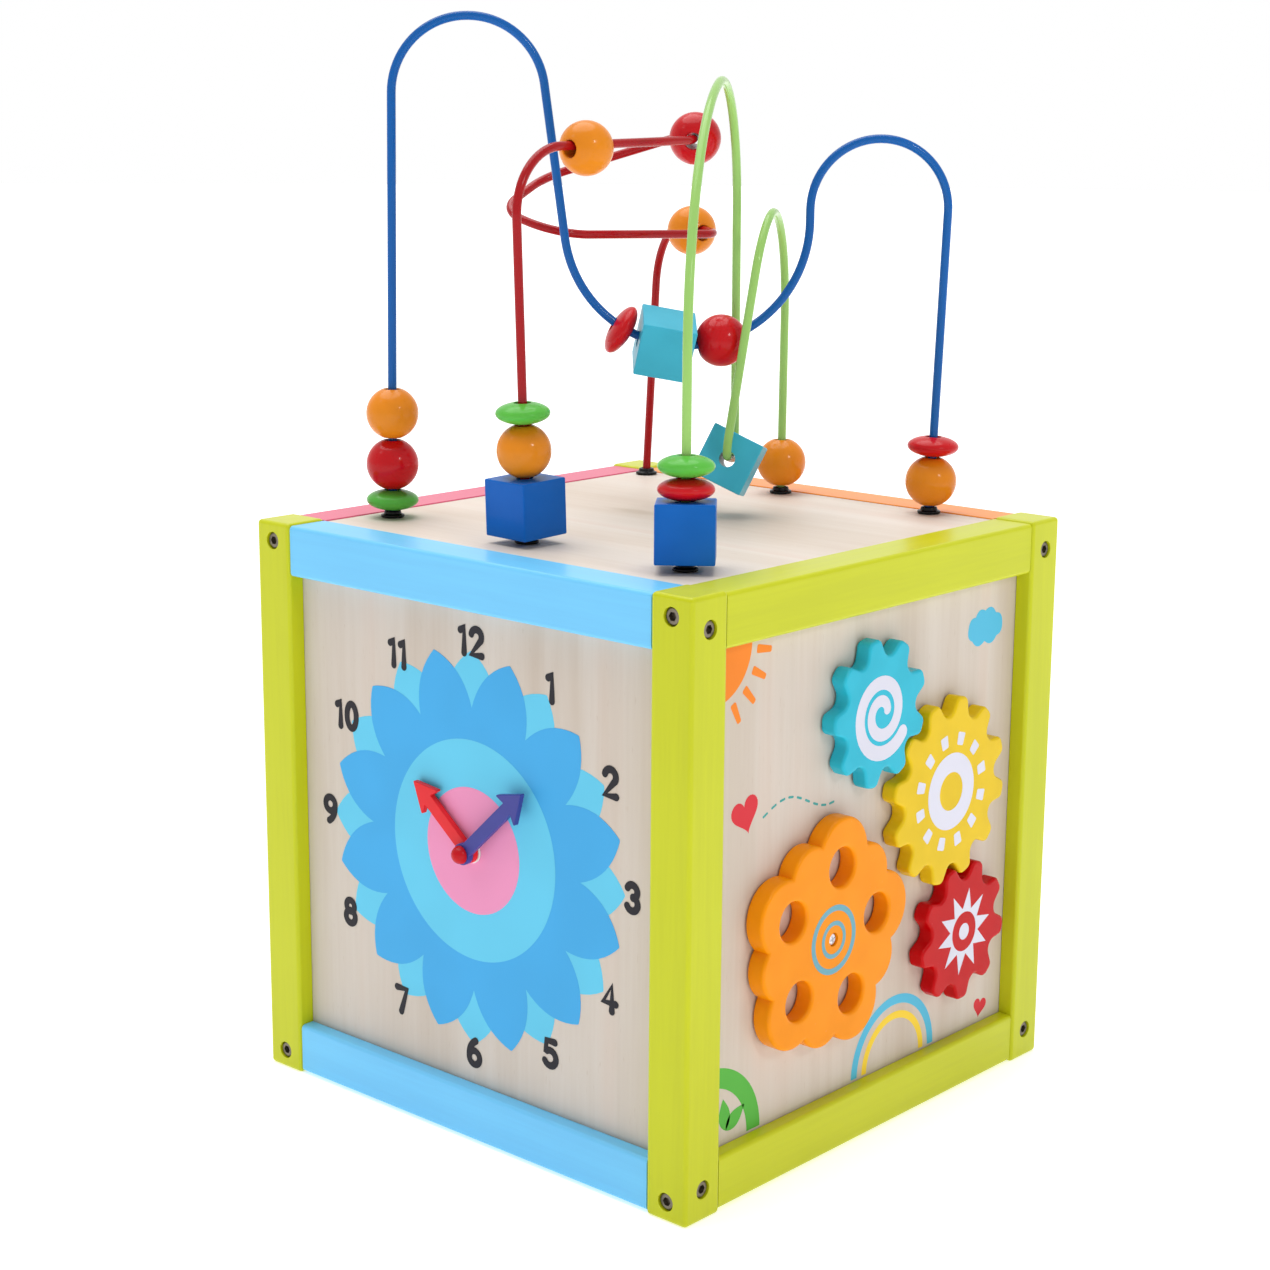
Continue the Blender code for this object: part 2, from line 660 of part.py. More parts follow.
def hang_on_valley(corners, beads, paints):
    """Beads on the blue wire's low round bend: (name, kind, paint, way along it from its lowest point,
    turn about the wire)."""
    heading = Vector((math.cos(BLUE_HEADING), math.sin(BLUE_HEADING), 0))
    radius = BLUE_BENDS[2] * MAZE_UNIT
    slope = (corners[2] - corners[3]).angle(corners[4] - corners[3])
    centre = corners[3] + heading * (radius / math.tan(slope / 2)) + Vector((0, 0, radius))
    across = heading.cross(Vector((0, 0, 1)))
    for name, kind, colour, way, spin in beads:
        distance = radius + bore_slack() - rise(radius, bead_reach(kind))
        angle = way / radius
        down = heading * math.sin(angle) - Vector((0, 0, math.cos(angle)))
        along = heading * math.cos(angle) + Vector((0, 0, math.sin(angle)))
        turn = Matrix((across, along.cross(across), along)).transposed().to_4x4()
        place = Matrix.Translation(centre + down * distance)
        make_bead(name, kind, place @ turn @ Matrix.Rotation(spin, 4, "Z"), paints[colour])


def straight_run(corners, bends, index):
    """The straight stretch between two bends: its ends and the tighter radius beside it."""
    start, end = corners[index], corners[index + 1]
    along = (end - start).normalized()
    radii = [bends[index - 1] * MAZE_UNIT, bends[index] * MAZE_UNIT]
    turns = [math.pi - (corners[i - 1] - corners[i]).angle(corners[i + 1] - corners[i])
             for i in (index, index + 1)]
    reaches = [radius * math.tan(turn / 2) for radius, turn in zip(radii, turns)]
    return start + along * reaches[0], end - along * reaches[1], min(radii)


def hang_on_run(name, kind, run, share, paint, turn=0.0):
    """A bead that hangs on a straight run, at a share of its length."""
    start, end, radius = run
    along = (end - start).normalized()
    down = -(Vector((0, 0, 1)) - along * along.z).normalized()
    spare = (end - start).length * min(share, 1 - share)
    lifted = rise(radius, max(0, bead_reach(kind) - spare))
    place = start.lerp(end, share) + down * (bore_slack() - lifted)
    make_bead(name, kind, Matrix.Translation(place) @ lying(along) @ Matrix.Rotation(turn, 4, "Z"), paint)


def make_maze(paints):
    blue, green, red = lift(blue_corners()), lift(GREEN_CORNERS), lift(RED_CORNERS)
    blue_feet = make_wire("wire_blue", blue, BLUE_BENDS, paints["wire_blue"])
    green_feet = make_wire("wire_green", green, GREEN_BENDS, paints["wire_green"])
    red_feet = make_wire("wire_red", red, RED_BENDS, paints["wire_red"])
    stack_beads(blue_feet[0], [("bead_disc_green_a", "disc", "green", 0),
                               ("bead_ball_red_a", "ball", "red", 0),
                               ("bead_ball_orange_a", "ball", "orange", 0)], paints)
    stack_beads(blue_feet[1], [("bead_ball_orange_b", "ball", "orange", 0),
                               ("bead_disc_red_a", "disc", "red", 0)], paints)
    stack_beads(red_feet[0], [("bead_cube_blue_a", "cube", "blue", RED_CUBE_TURN),
                              ("bead_ball_orange_c", "ball", "orange", 0),
                              ("bead_disc_green_b", "disc", "green", 0)], paints)
    stack_beads(green_feet[0], [("bead_cube_blue_b", "cube", "blue", GREEN_CUBE_TURN),
                                ("bead_disc_red_b", "disc", "red", 0),
                                ("bead_disc_green_c", "disc", "green", 0)], paints)
    stack_beads(green_feet[1], [("bead_ball_orange_d", "ball", "orange", 0)], paints)
    hang_on_valley(blue, [("bead_disc_red_c", "disc", "red", -0.03524, 0),
                          ("bead_cube_teal_a", "cube", "teal", -0.01133, VALLEY_CUBE_TURN),
                          ("bead_ball_red_b", "ball", "red", 0.01897, 0)], paints)
    hang_on_run("bead_ball_orange_e", "ball", straight_run(red, RED_BENDS, 1), 0.20, paints["orange"])
    hang_on_run("bead_ball_red_c", "ball", straight_run(red, RED_BENDS, 2), 0.50, paints["red"])
    hang_on_run("bead_ball_orange_f", "ball", straight_run(red, RED_BENDS, 7), 0.60, paints["orange"])
    hang_on_run("bead_cube_teal_b", "cube", straight_run(green, GREEN_BENDS, 3), 0.50, paints["teal"],
                TEAL_CUBE_TURN)
    return blue_feet + green_feet + red_feet


# Clock

def hand_outline(length):
    """A round hub, a straight shaft and an arrowhead that points along X."""
    hub, half = HUB_DIAMETER / 2, HAND_WIDTH / 2
    meet = math.asin(half / hub)
    neck = length - HEAD_LENGTH
    points = arc((0, 0), hub, meet, 2 * math.pi - meet, 12)
    points += [(neck, -half), (neck - HEAD_BARB, -HEAD_WIDTH / 2), (length, 0),
               (neck - HEAD_BARB, HEAD_WIDTH / 2), (neck, half)]
    return points


def make_hand(name, length, angle, proud, material):
    matrix = face_matrix(FRONT, 0, CLOCK_HEIGHT, proud) @ Matrix.Rotation(angle, 4, "Z")
    hand = link(name, prism(bmesh.new(), hand_outline(length), 0, HAND_THICKNESS), matrix, material)
    bore_width = 2 * bore_radius(HAND_BORE, BORE_SIDES)
    bore = rod(bmesh.new(), bore_width, -OVERCUT, HAND_THICKNESS + OVERCUT, BORE_SIDES)
    cut(hand, link_cutter(name + "_bore", bore, matrix))


def make_clock(paints):
    spacer_top = FIT + SPACER_THICKNESS
    hour_back = spacer_top + FIT
    minute_back = hour_back + HAND_THICKNESS + FIT
    cap_back = minute_back + HAND_THICKNESS + FIT
    place = face_matrix(FRONT, 0, CLOCK_HEIGHT, 0)
    bore = bore_radius(HAND_BORE, BORE_SIDES)
    spacer = [(bore, FIT), (SPACER_DIAMETER / 2, FIT), (SPACER_DIAMETER / 2, spacer_top), (bore, spacer_top)]
    link("clock_spacer", turned(bmesh.new(), spacer, BORE_SIDES, ring=True), place, paints["white"])
    make_hand("hour_hand", HOUR_LENGTH, HOUR_ANGLE, hour_back, paints["red"])
    make_hand("minute_hand", MINUTE_LENGTH, MINUTE_ANGLE, minute_back, paints["violet"])
    cap, shaft = CLOCK_CAP_DIAMETER / 2, CLOCK_PIN_DIAMETER / 2
    tail = PANEL_THICKNESS + PIN_TAIL
    profile = [(0, -tail), (shaft, -tail), (shaft, cap_back), (cap, cap_back)]
    steps = 4
    for i in range(1, steps + 1):
        angle = math.pi / 2 * i / steps
        profile.append((cap * math.cos(angle), cap_back + CLOCK_CAP_HEIGHT * math.sin(angle)))
    profile[-1] = (0, cap_back + CLOCK_CAP_HEIGHT)
    link("clock_pin", turned(bmesh.new(), profile, BORE_SIDES), place, paints["red"])


# Gear train and flower wheel

def pitch_radius(teeth):
    return GEAR_MODULE * teeth / 2


def gear_outline(teeth, tooth_foot, phase):
    """One tooth for each pitch: the round of its shoulder and the arc of the valley beside it are
    joined by the straight flank that touches both."""
    half_pitch = math.pi / teeth
    tip = pitch_radius(teeth) + TOOTH_HEAD
    root = pitch_radius(teeth) - tooth_foot
    shoulder = Vector((tip - TOOTH_ROUND, TOOTH_FLAT))
    valley = Vector((math.cos(half_pitch), math.sin(half_pitch))) * (root + VALLEY_ROUND)
    between = valley - shoulder
    lean = math.atan2(between.y, between.x)
    flank = lean - math.acos((TOOTH_ROUND + VALLEY_ROUND) / between.length)
    half = arc(shoulder, TOOTH_ROUND, 0, flank, ARC_STEPS)
    half += arc(valley, VALLEY_ROUND, flank + math.pi, half_pitch + math.pi, ARC_STEPS)
    mirrored = [(x, -y) for x, y in reversed(half)]
    tooth = mirrored + half[:-1]
    outline = []
    for i in range(teeth):
        outline += turn_points(tooth, phase + 2 * half_pitch * i)
    return outline


def meshed_phase(driver_phase, driver_teeth, line, teeth):
    """The angle of a tooth that lets a gear's valleys take the teeth of the gear that drives it."""
    valley = line + math.pi - (driver_phase - line) * driver_teeth / teeth
    return valley + math.pi / teeth


def yellow_place():
    """The yellow gear's middle, from how the gears and the flower wheel stand in the window together."""
    distance = pitch_radius(YELLOW_TEETH) + pitch_radius(SMALL_TEETH)
    tip = pitch_radius(SMALL_TEETH) + TOOTH_HEAD
    left = sum(LARGE_PETAL) - FLOWER_OFFSET[0]
    right = distance * math.cos(RED_HEADING) + tip
    up = distance * math.sin(TEAL_HEADING) + tip
    down = tip - distance * math.sin(RED_HEADING)
    spare = (2 * WINDOW_HALF - left - right, WINDOW_TOP - WINDOW_BOTTOM - up - down)
    return (left - WINDOW_HALF + WHEELS_SPARE[0] * spare[0],
            down + WINDOW_BOTTOM + WHEELS_SPARE[1] * spare[1])


def gear_set(middle):
    """The three meshed gears, worked out from the yellow one in the middle."""
    distance = pitch_radius(YELLOW_TEETH) + pitch_radius(SMALL_TEETH)
    gears = [{"name": "gear_yellow", "axle": "axle_yellow", "paint": "yellow", "teeth": YELLOW_TEETH,
              "foot": YELLOW_TOOTH_FOOT, "place": middle, "phase": TEAL_HEADING}]
    for name, colour, heading in (("gear_teal", "teal", TEAL_HEADING), ("gear_red", "red", RED_HEADING)):
        place = (middle[0] + distance * math.cos(heading), middle[1] + distance * math.sin(heading))
        phase = meshed_phase(TEAL_HEADING, YELLOW_TEETH, heading, SMALL_TEETH)
        gears.append({"name": name, "axle": "axle_" + colour, "paint": colour, "teeth": SMALL_TEETH,
                      "foot": SMALL_TOOTH_FOOT, "place": place, "phase": phase})
    return gears


def make_gears(paints, gears):
    bore_width = 2 * bore_radius(AXLE_DIAMETER + 2 * AXLE_FIT, BORE_SIDES)
    inside = PANEL_THICKNESS + FIT
    reach = RUNNING_GAP + AXLE_BORE_DEPTH - FIT
    shaft, flange = AXLE_DIAMETER / 2, FLANGE_DIAMETER / 2
    profile = [(0, -inside - FLANGE_THICKNESS), (flange, -inside - FLANGE_THICKNESS), (flange, -inside),
               (shaft, -inside), (shaft, reach), (0, reach)]
    for gear in gears:
        matrix = face_matrix(RIGHT, *gear["place"], RUNNING_GAP)
        outline = gear_outline(gear["teeth"], gear["foot"], gear["phase"])
        item = link(gear["name"], prism(bmesh.new(), outline, 0, GEAR_THICKNESS, GEAR_EDGE), matrix,
                    paints[gear["paint"]])
        bore = rod(bmesh.new(), bore_width, -OVERCUT, AXLE_BORE_DEPTH, BORE_SIDES)
        cut(item, link_cutter(gear["name"] + "_bore", bore, matrix))
        link(gear["axle"], turned(bmesh.new(), profile, BORE_SIDES), face_matrix(RIGHT, *gear["place"], 0),
             paints["white"])


def flower_outline():
    """Large and small round petals in turn, each drawn to where it meets the next."""
    pitch = math.pi / PETALS
    large, small = LARGE_PETAL, SMALL_PETAL
    middle_large = Vector((large[0], 0))
    middle_small = Vector((small[0] * math.cos(pitch), small[0] * math.sin(pitch)))
    between = middle_small - middle_large
    share = (between.length ** 2 + large[1] ** 2 - small[1] ** 2) / (2 * between.length)
    across = math.sqrt(large[1] ** 2 - share ** 2)
    unit = between.normalized()
    crossings = [middle_large + unit * share + Vector((-unit.y, unit.x)) * across * sign for sign in (-1, 1)]
    meet = max(crossings, key=lambda point: point.length)
    large_end = math.atan2(meet.y, meet.x - large[0])
    local = meet - middle_small
    small_start = math.atan2(local.y, local.x)
    small_end = 2 * pitch - small_start
    one = arc(middle_large, large[1], -large_end, large_end, PETAL_STEPS)[:-1]
    one += arc(middle_small, small[1], small_start, small_end, PETAL_STEPS - 1)[:-1]
    outline = []
    for i in range(PETALS):
        outline += turn_points(one, PETAL_HEADING + 2 * pitch * i)
    return outline


def make_flower_wheel(paints, place):
    matrix = face_matrix(RIGHT, *place, RUNNING_GAP)
    wheel = link("flower_wheel", prism(bmesh.new(), flower_outline(), 0, FLOWER_THICKNESS, FLOWER_EDGE),
                 matrix, paints["orange"])
    holes = bmesh.new()
    for i in range(PETALS):
        angle = PETAL_HEADING + 2 * math.pi * i / PETALS
        spot = Matrix.Rotation(angle, 4, "Z") @ Matrix.Translation((FINGER_HOLE_DISTANCE, 0, 0))
        rod(holes, FINGER_HOLE_DIAMETER, -OVERCUT, FLOWER_THICKNESS + OVERCUT, FINGER_HOLE_SIDES, spot)
    head = bore_radius(WHEEL_SCREW_HEAD + 2 * AXLE_FIT, BORE_SIDES)
    shank = bore_radius(WHEEL_SCREW_SHANK + 2 * AXLE_FIT, BORE_SIDES)
    seat = FLOWER_THICKNESS - WHEEL_SCREW_RECESS
    front = FLOWER_THICKNESS + OVERCUT
    stepped = [(0, -OVERCUT), (shank, -OVERCUT), (shank, seat), (head, seat), (head, front), (0, front)]
    merge(holes, turned(bmesh.new(), stepped, BORE_SIDES))
    cut(wheel, link_cutter("wheel_holes", holes, matrix))
    tail = PANEL_THICKNESS + PIN_TAIL
    under_head = RUNNING_GAP + seat + FIT
    top = under_head + WHEEL_SCREW_HEAD_HEIGHT
    screw = [(0, -tail), (WHEEL_SCREW_SHANK / 2, -tail), (WHEEL_SCREW_SHANK / 2, under_head),
             (WHEEL_SCREW_HEAD / 2, under_head), (WHEEL_SCREW_HEAD / 2, top), (0, top)]
    link("wheel_screw", turned(bmesh.new(), screw, BORE_SIDES), face_matrix(RIGHT, *place, 0),
         paints["steel"])


# Sliders

def knob_profile():
    """A rounded knob, its stem through the slot, and the keeper on the stem behind the panel."""
    stem, keeper, radius = STEM_DIAMETER / 2, KEEPER_DIAMETER / 2, KNOB_DIAMETER / 2
    keeper_face = -PANEL_THICKNESS - RUNNING_GAP
    keeper_back = keeper_face - KEEPER_THICKNESS
    back, front = RUNNING_GAP, RUNNING_GAP + KNOB_HEIGHT
    profile = [(0, keeper_back), (keeper, keeper_back), (keeper, keeper_face), (stem, keeper_face),
               (stem, back), (radius, back)]
    edge = arc((radius - KNOB_EDGE, front - KNOB_EDGE), KNOB_EDGE, 0, math.pi / 2, 3)
    return profile + edge + [(0, front)]


def make_sliders(paints):
    for name, colour, across, height in (("a", "green", KNOB_PLACES[0], SLOT_HEIGHTS[0]),
                                         ("b", "red", KNOB_PLACES[1], SLOT_HEIGHTS[1])):
        knob = turned(bmesh.new(), knob_profile(), KNOB_SIDES)
        link(f"slider_knob_{name}", knob, face_matrix(LEFT, across, height, 0), paints[colour])


def main():
    for item in list(bpy.data.objects):
        bpy.data.objects.remove(item, do_unlink=True)
    paints = make_paints()
    middle = yellow_place()
    flower_place = (middle[0] + FLOWER_OFFSET[0], middle[1] + FLOWER_OFFSET[1])
    gears = gear_set(middle)
    holes = screw_cutters()
    make_posts(paints, holes)
    make_side_panels(paints, gears, flower_place)
    feet = make_maze(paints)
    foot_holes = wire_holes(feet)
    make_rails(paints, holes, foot_holes)
    make_level_panels(paints, foot_holes)
    make_collars(paints, feet)
    make_clock(paints)
    make_gears(paints, gears)
    make_flower_wheel(paints, flower_place)
    make_sliders(paints)


main()
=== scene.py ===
# Wooden activity cube: fine shapes and finishes of a framed play box with a clock, a gear train,
# sliders and a chalkboard on its sides, and a bead maze of three bent wires on its top.
# Lengths are in metres, Z is up, the clock side faces -Y and the gear side faces +X.
import json
import math

import bmesh
import bpy
from mathutils import Matrix, Vector


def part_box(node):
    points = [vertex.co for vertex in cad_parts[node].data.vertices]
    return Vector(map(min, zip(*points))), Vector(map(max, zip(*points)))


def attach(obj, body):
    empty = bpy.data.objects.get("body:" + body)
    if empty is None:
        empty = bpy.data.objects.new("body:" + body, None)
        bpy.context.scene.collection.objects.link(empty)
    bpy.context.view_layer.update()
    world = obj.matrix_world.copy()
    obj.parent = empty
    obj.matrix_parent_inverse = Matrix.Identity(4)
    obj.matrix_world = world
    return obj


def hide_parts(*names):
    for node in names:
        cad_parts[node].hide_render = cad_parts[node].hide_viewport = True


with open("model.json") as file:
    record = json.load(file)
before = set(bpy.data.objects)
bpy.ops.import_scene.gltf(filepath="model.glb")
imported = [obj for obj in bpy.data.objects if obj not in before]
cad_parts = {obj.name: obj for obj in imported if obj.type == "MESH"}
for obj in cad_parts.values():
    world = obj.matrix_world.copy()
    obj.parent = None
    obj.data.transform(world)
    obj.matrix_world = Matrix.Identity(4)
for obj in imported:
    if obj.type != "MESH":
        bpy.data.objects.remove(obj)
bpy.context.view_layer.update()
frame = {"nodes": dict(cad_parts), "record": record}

NODES = frame["nodes"]
MM = 0.001
WELD = 1e-6             # points closer than this become one
SHARP = math.radians(35)
FIT = 0.0003            # room between pieces that are fitted into each other
QUARTER = math.pi / 2
FULL_TURN = 2 * math.pi
OUTLINE_TOLERANCE = 0.00002
WIRE_TOLERANCE = 0.00003

FRONT, RIGHT, BACK, LEFT = range(4)
SIDE_NAMES = ("front", "right", "back", "left")
POST_NAMES = ("post_front_left", "post_front_right", "post_back_right", "post_back_left")


def box_middle(node):
    low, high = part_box(node)
    return (low + high) / 2


# The frame, read from the solids
POST_LOW, POST_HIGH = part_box("post_front_left")
HALF = -POST_LOW.x
POST_SIZE = POST_HIGH.x - POST_LOW.x
POST_HEIGHT = POST_HIGH.z
WINDOW_HALF = HALF - POST_SIZE
POST_MIDDLE = HALF - POST_SIZE / 2
RAIL_LOW, RAIL_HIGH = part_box("rail_front_top")
RAIL_OUTER = -RAIL_LOW.y
RAIL_TOP = RAIL_HIGH.z
WINDOW_TOP = RAIL_LOW.z
WINDOW_BOTTOM = POST_HEIGHT - WINDOW_TOP
PANEL_LOW, PANEL_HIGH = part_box("panel_front")
PANEL_REACH = -PANEL_LOW.x
PANEL_FACE = -PANEL_LOW.y
PANEL_BACK = -PANEL_HIGH.y
PANEL_TOP = PANEL_HIGH.z
PANEL_THICKNESS = PANEL_FACE - PANEL_BACK
TOP_UNDERSIDE, TOP_FACE = (corner.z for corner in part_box("panel_top"))
LEDGE_WIDTH = 0.008     # step inside the rails that carries the top and bottom panels
POST_ROUND = 0.0022
RAIL_ROUND = 0.0022
GROOVE_ROUND = 0.0004
LEDGE_ROUND = 0.0006
LEVEL_PANEL_EDGE = 0.0005
SIDE_PANEL_EDGE = 0.0003

# Furniture screws
SCREW_INSETS = (0.010, 0.016)   # from a post's end: on the clock and board sides, on the others
COUNTERBORE = 0.0092
COUNTERBORE_DEPTH = 0.0042
SCREW_HOLE = 0.0052
SCREW_HEAD = 0.0084
SCREW_SHANK = 0.0048
SCREW_LENGTH = 0.018
SCREW_DROP = 0.0009     # from the post's face to the head
SCREW_DOME = 0.0009
SCREW_SEAT = 0.0001     # from the head to the counterbore's floor
SCREW_END_ROUND = 0.0005
SOCKET_ACROSS = 0.004
SOCKET_DEPTH = 0.0024

# Maze wires: corners are (x, y, height over the top panel) in millimetres; the blue wire's are
# (distance along its upright plane, height)
WIRE_DIAMETER = 0.0046
WIRE_TAIL = 0.0095      # from the top panel's underside to a wire's end
WIRE_FIT = 0.0006       # the wires lean a little in their collars and holes
WIRE_BORE = WIRE_DIAMETER / 2 + WIRE_FIT
BLUE_FOOT = (-109.6, -91.0)
BLUE_HEADING = math.radians(46.54)
BLUE_CORNERS = ((0, 0), (2.9, 257.8), (76.0, 257.8), (98.7, 90.5), (219.5, 90.5),
                (219.5, 197.6), (293.6, 197.6), (287.5, 0))
BLUE_BENDS = (38.9, 38.9, 64.3, 64.3, 36.4, 36.4)
GREEN_CORNERS = ((100.3, -97.4, 0), (94.0, -90.6, 206.4), (-3.0, 61.1, 239.0), (-1.4, 61.3, 25.9),
                 (26.9, 19.4, 35.2), (29.5, 45.9, 160.8), (-15.6, 120.9, 155.1), (-12.2, 115.8, 0))
GREEN_BENDS = (131.8, 64.6, 13.8, 11.4, 35.9, 56.6)
RED_CORNERS = ((-4.8, -96.6, 0), (-4.7, -104.4, 193.5), (-9.2, 32.1, 196.2), (-35.1, 68.9, 200.9),
               (-94.6, 9.2, 175.3), (-90.4, -28.3, 159.2), (-53.5, -23.9, 147.6),
               (-38.0, 90.0, 144.6), (-81.7, 104.9, 147.7), (-106.2, 116.1, 138.0),
               (-113.5, 115.4, 0))
RED_BENDS = (32.2, 22.1, 18.5, 26.9, 15.5, 27.9, 13.7, 12.9, 38.5)

# Collars and nuts at the wires' feet
COLLAR_DIAMETER = 0.0125
COLLAR_FLANGE = 0.0013
COLLAR_SHOULDER = (0.0047, 0.0018)      # radius and height where the lip rises from the flange
COLLAR_TOP = (0.0043, 0.0035)           # radius and height of the lip
NUT_SIZE = 0.008        # across the corners
NUT_HEIGHT = 0.003
NUT_EDGE = 0.0003
NUT_REACH = 0.009       # from the top panel's face down the leg
NUT_DROP = 0.0001       # from there to the nut's underside
NUT_ROOM = 0.005        # from a foot to the rails' step, where a nut fits

# Beads
BEAD_DIAMETER = 0.028
DISC_LENGTH = 0.0112
CUBE_SIZE = 0.0287
CUBE_ROUND = 0.0008
BEAD_BORE = 0.0086
BEAD_PLAY = 0.0003      # keeps moving beads clear of each other
BORE_ROUND = 0.0006

# Clock
CLOCK_HEIGHT = 0.151
HAND_THICKNESS = 0.0032
HAND_EDGE = 0.0004
HAND_WIDTH = 0.007
HUB_DIAMETER = 0.011
HAND_BORE = 0.0046
HEAD_LENGTH = 0.0135
HEAD_WIDTH = 0.019
HEAD_BARB = 0.0019      # how far the head's barbs point back
HEAD_ROUND = 0.0005
HOUR_LENGTH = 0.0485
HOUR_ANGLE = math.radians(141.8)
MINUTE_LENGTH = 0.057
MINUTE_ANGLE = math.radians(43.3)
SPACER_ROUND = 0.0003
PIN_DIAMETER = 0.004
CAP_DIAMETER = 0.0094
CAP_HEIGHT = 0.0048
CAP_CHAMFER = (0.0004, 0.0003)
DOME_START = 0.1        # angle over the cap's rim
PETAL_COUNT = 12
PETAL_TIP = 0.1025
PETAL_ROUND = 0.0013
LIGHT_PETALS = (0.066, 0.0075)          # radius of the valleys, bulge of the sides
DARK_PETALS = (0.0734, 0.0050)
DIAL_RING = 0.057
DIAL_MIDDLE = 0.0326
DIAL_HOLE = 0.0024
NUMERAL_RADIUS = 0.107
NUMERAL_HEIGHT = 0.0165
NUMERAL_STROKE = 0.232  # this and the space are shares of the height
NUMERAL_SPACE = 0.07
NUMERAL_LEVEL = 2.5     # clear of the petals' tips

# Gears and flower wheel
GEAR_MODULE = 0.00781
GEAR_THICKNESS = 0.009
GEAR_EDGE = 0.0016
TOOTH_HEAD = 0.0028     # from the pitch circle to a tooth's tip
TOOTH_ROUND = 0.004
TOOTH_FLAT = 0.0015     # half of the straight part of a tooth's head
VALLEY_ROUND = 0.0053
YELLOW_TEETH = 12
SMALL_TEETH = 9
YELLOW_FOOT = 0.0066
SMALL_FOOT = 0.0059
YELLOW_PLACE = box_middle("axle_yellow").yz
TEAL_HEADING = math.radians(139.7)      # from the yellow gear's middle
RED_HEADING = math.radians(-78.3)
RUNNING_GAP = 0.0005
AXLE_BORE = 0.0088
AXLE_BORE_DEPTH = 0.0065
FLOWER_PLACE = box_middle("wheel_screw").yz
FLOWER_THICKNESS = 0.0105
FLOWER_EDGE = 0.0018
PETALS = 5
PETAL_HEADING = math.radians(79.9)
LARGE_PETAL = (0.042, 0.0195)           # distance of the petal's centre, its radius
SMALL_PETAL = (0.0388, 0.0162)
FINGER_HOLE = 0.0202
FINGER_HOLE_DISTANCE = 0.0361
FLOWER_RINGS = ((0.0177, 0.0147), (0.0096, 0.0073))
WHEEL_SCREW_HEAD = 0.0062
WHEEL_SCREW_HEAD_HEIGHT = 0.0022
WHEEL_SCREW_SHANK = 0.004
WHEEL_SCREW_RECESS = 0.004
WHEEL_SCREW_DROP = 0.0008
WHEEL_SCREW_PLAY = 0.0004
CROSS_LENGTH, CROSS_WIDTH, CROSS_DEPTH = 0.0038, 0.0010, 0.0012
CROSS_TURN = 0.3        # angle of the cross in the screw's head

# Sliders
SLOT_LENGTH = 0.158
SLOT_WIDTH = 0.0094
SLOT_STRAIGHT = (SLOT_LENGTH - SLOT_WIDTH) / 2
SLOT_HEIGHTS = tuple(box_middle("slider_knob_" + name).z for name in "ab")
KNOB_PLACES = tuple(-box_middle("slider_knob_" + name).y for name in "ab")
KNOB_DIAMETER = 0.030
KNOB_HEIGHT = 0.013
KNOB_ROUNDS = (0.0012, 0.0042)          # of the rim next to the panel, of the rim in front
STEM_DIAMETER = 0.0084
KEEPER_DIAMETER = 0.020
KEEPER_THICKNESS = 0.003
KEEPER_ROUND = 0.0006
TRACK_RADII = (0.0125, 0.0082)

# Printed layers; places on the gear side are (distance right of the middle, height)
LAYER = 0.00004
LAYER_GAP = 0.00003
SUN_RADIUS = 0.028
CLOUD_PLACE = (0.097, 0.249)
CLOUD_SCALE = 1.25 * MM
CLOUD_STOPS = ((-9, -5), (0, -6), (9, -5), (13, 0), (8, 5), (0, 7), (-7, 5), (-12, 1))
HEARTS = ((-0.099, 0.190, 0.020, 0.25), (0.106, 0.036, 0.012, -0.2))    # place, size, turn
TRAIL_PLACE = (-0.084, 0.186)
TRAIL_DASHES = 9
TRAIL_PITCH = 0.0065
TRAIL_RISE, TRAIL_WAVE = 0.005, 0.0105
RAINBOW_PLACE = 0.026
RAINBOW_BANDS = ((0.036, 0.031, "sky_ink"), (0.027, 0.023, "yellow_ink"))
HILL_RADII = (0.040, 0.030)
LEAF_PLACE = (-0.110, 0.034)
LEAF_SIZE = (0.017, 0.0042)
LEAF_TURNS = (0.6, 1.7)

# The studio: lamps are (name, place, power)
LAMPS = (("key_light", (-1.0, -1.5, 2.1), 1.2), ("side_light", (2.2, -0.3, 1.6), 9))
LAMP_SIZE = 0.35
LAMP_TARGET = (0, 0, 0.2)
SUN_POWER = 2.55
SUN_SPREAD = math.radians(60)
SUN_FROM = (-0.25, 0.08, 1)
ROOM_LIGHT = 0.34       # what the white room gives to matt surfaces
FLOOR_LIGHT = 0.50
FLOOR_RADIUS, FLOOR_MIDDLE = 14, 2

# The camera, solved from the box's corners
CAMERA_PLACE = (0.82687, -0.94460, 0.51662)
CAMERA_HEADING = -0.72993
CAMERA_DIP = 0.21798
CAMERA_ROLL = math.radians(0.3968)
CAMERA_LENS = 68.386


# Colours and finishes

def shade(red, green, blue, lift=1.0):
    """A colour given by its screen values, as light."""
    parts = (((part / 255 + 0.055) / 1.055) ** 2.4 * lift for part in (red, green, blue))
    return (*(min(1.0, part) for part in parts), 1.0)


class Signal:
    """A shader socket that takes part in sums as a number does."""

    def __init__(self, nodes, socket):
        self.nodes = nodes
        self.socket = socket

    def sum(self, operation, first, second):
        return self.nodes.node("ShaderNodeMath", {"operation": operation}, {0: first, 1: second})

    def __add__(self, other):
        return self.sum("ADD", self, other)

    def __radd__(self, other):
        return self.sum("ADD", other, self)

    def __sub__(self, other):
        return self.sum("SUBTRACT", self, other)

    def __rsub__(self, other):
        return self.sum("SUBTRACT", other, self)

    def __mul__(self, other):
        return self.sum("MULTIPLY", self, other)

    def __rmul__(self, other):
        return self.sum("MULTIPLY", other, self)


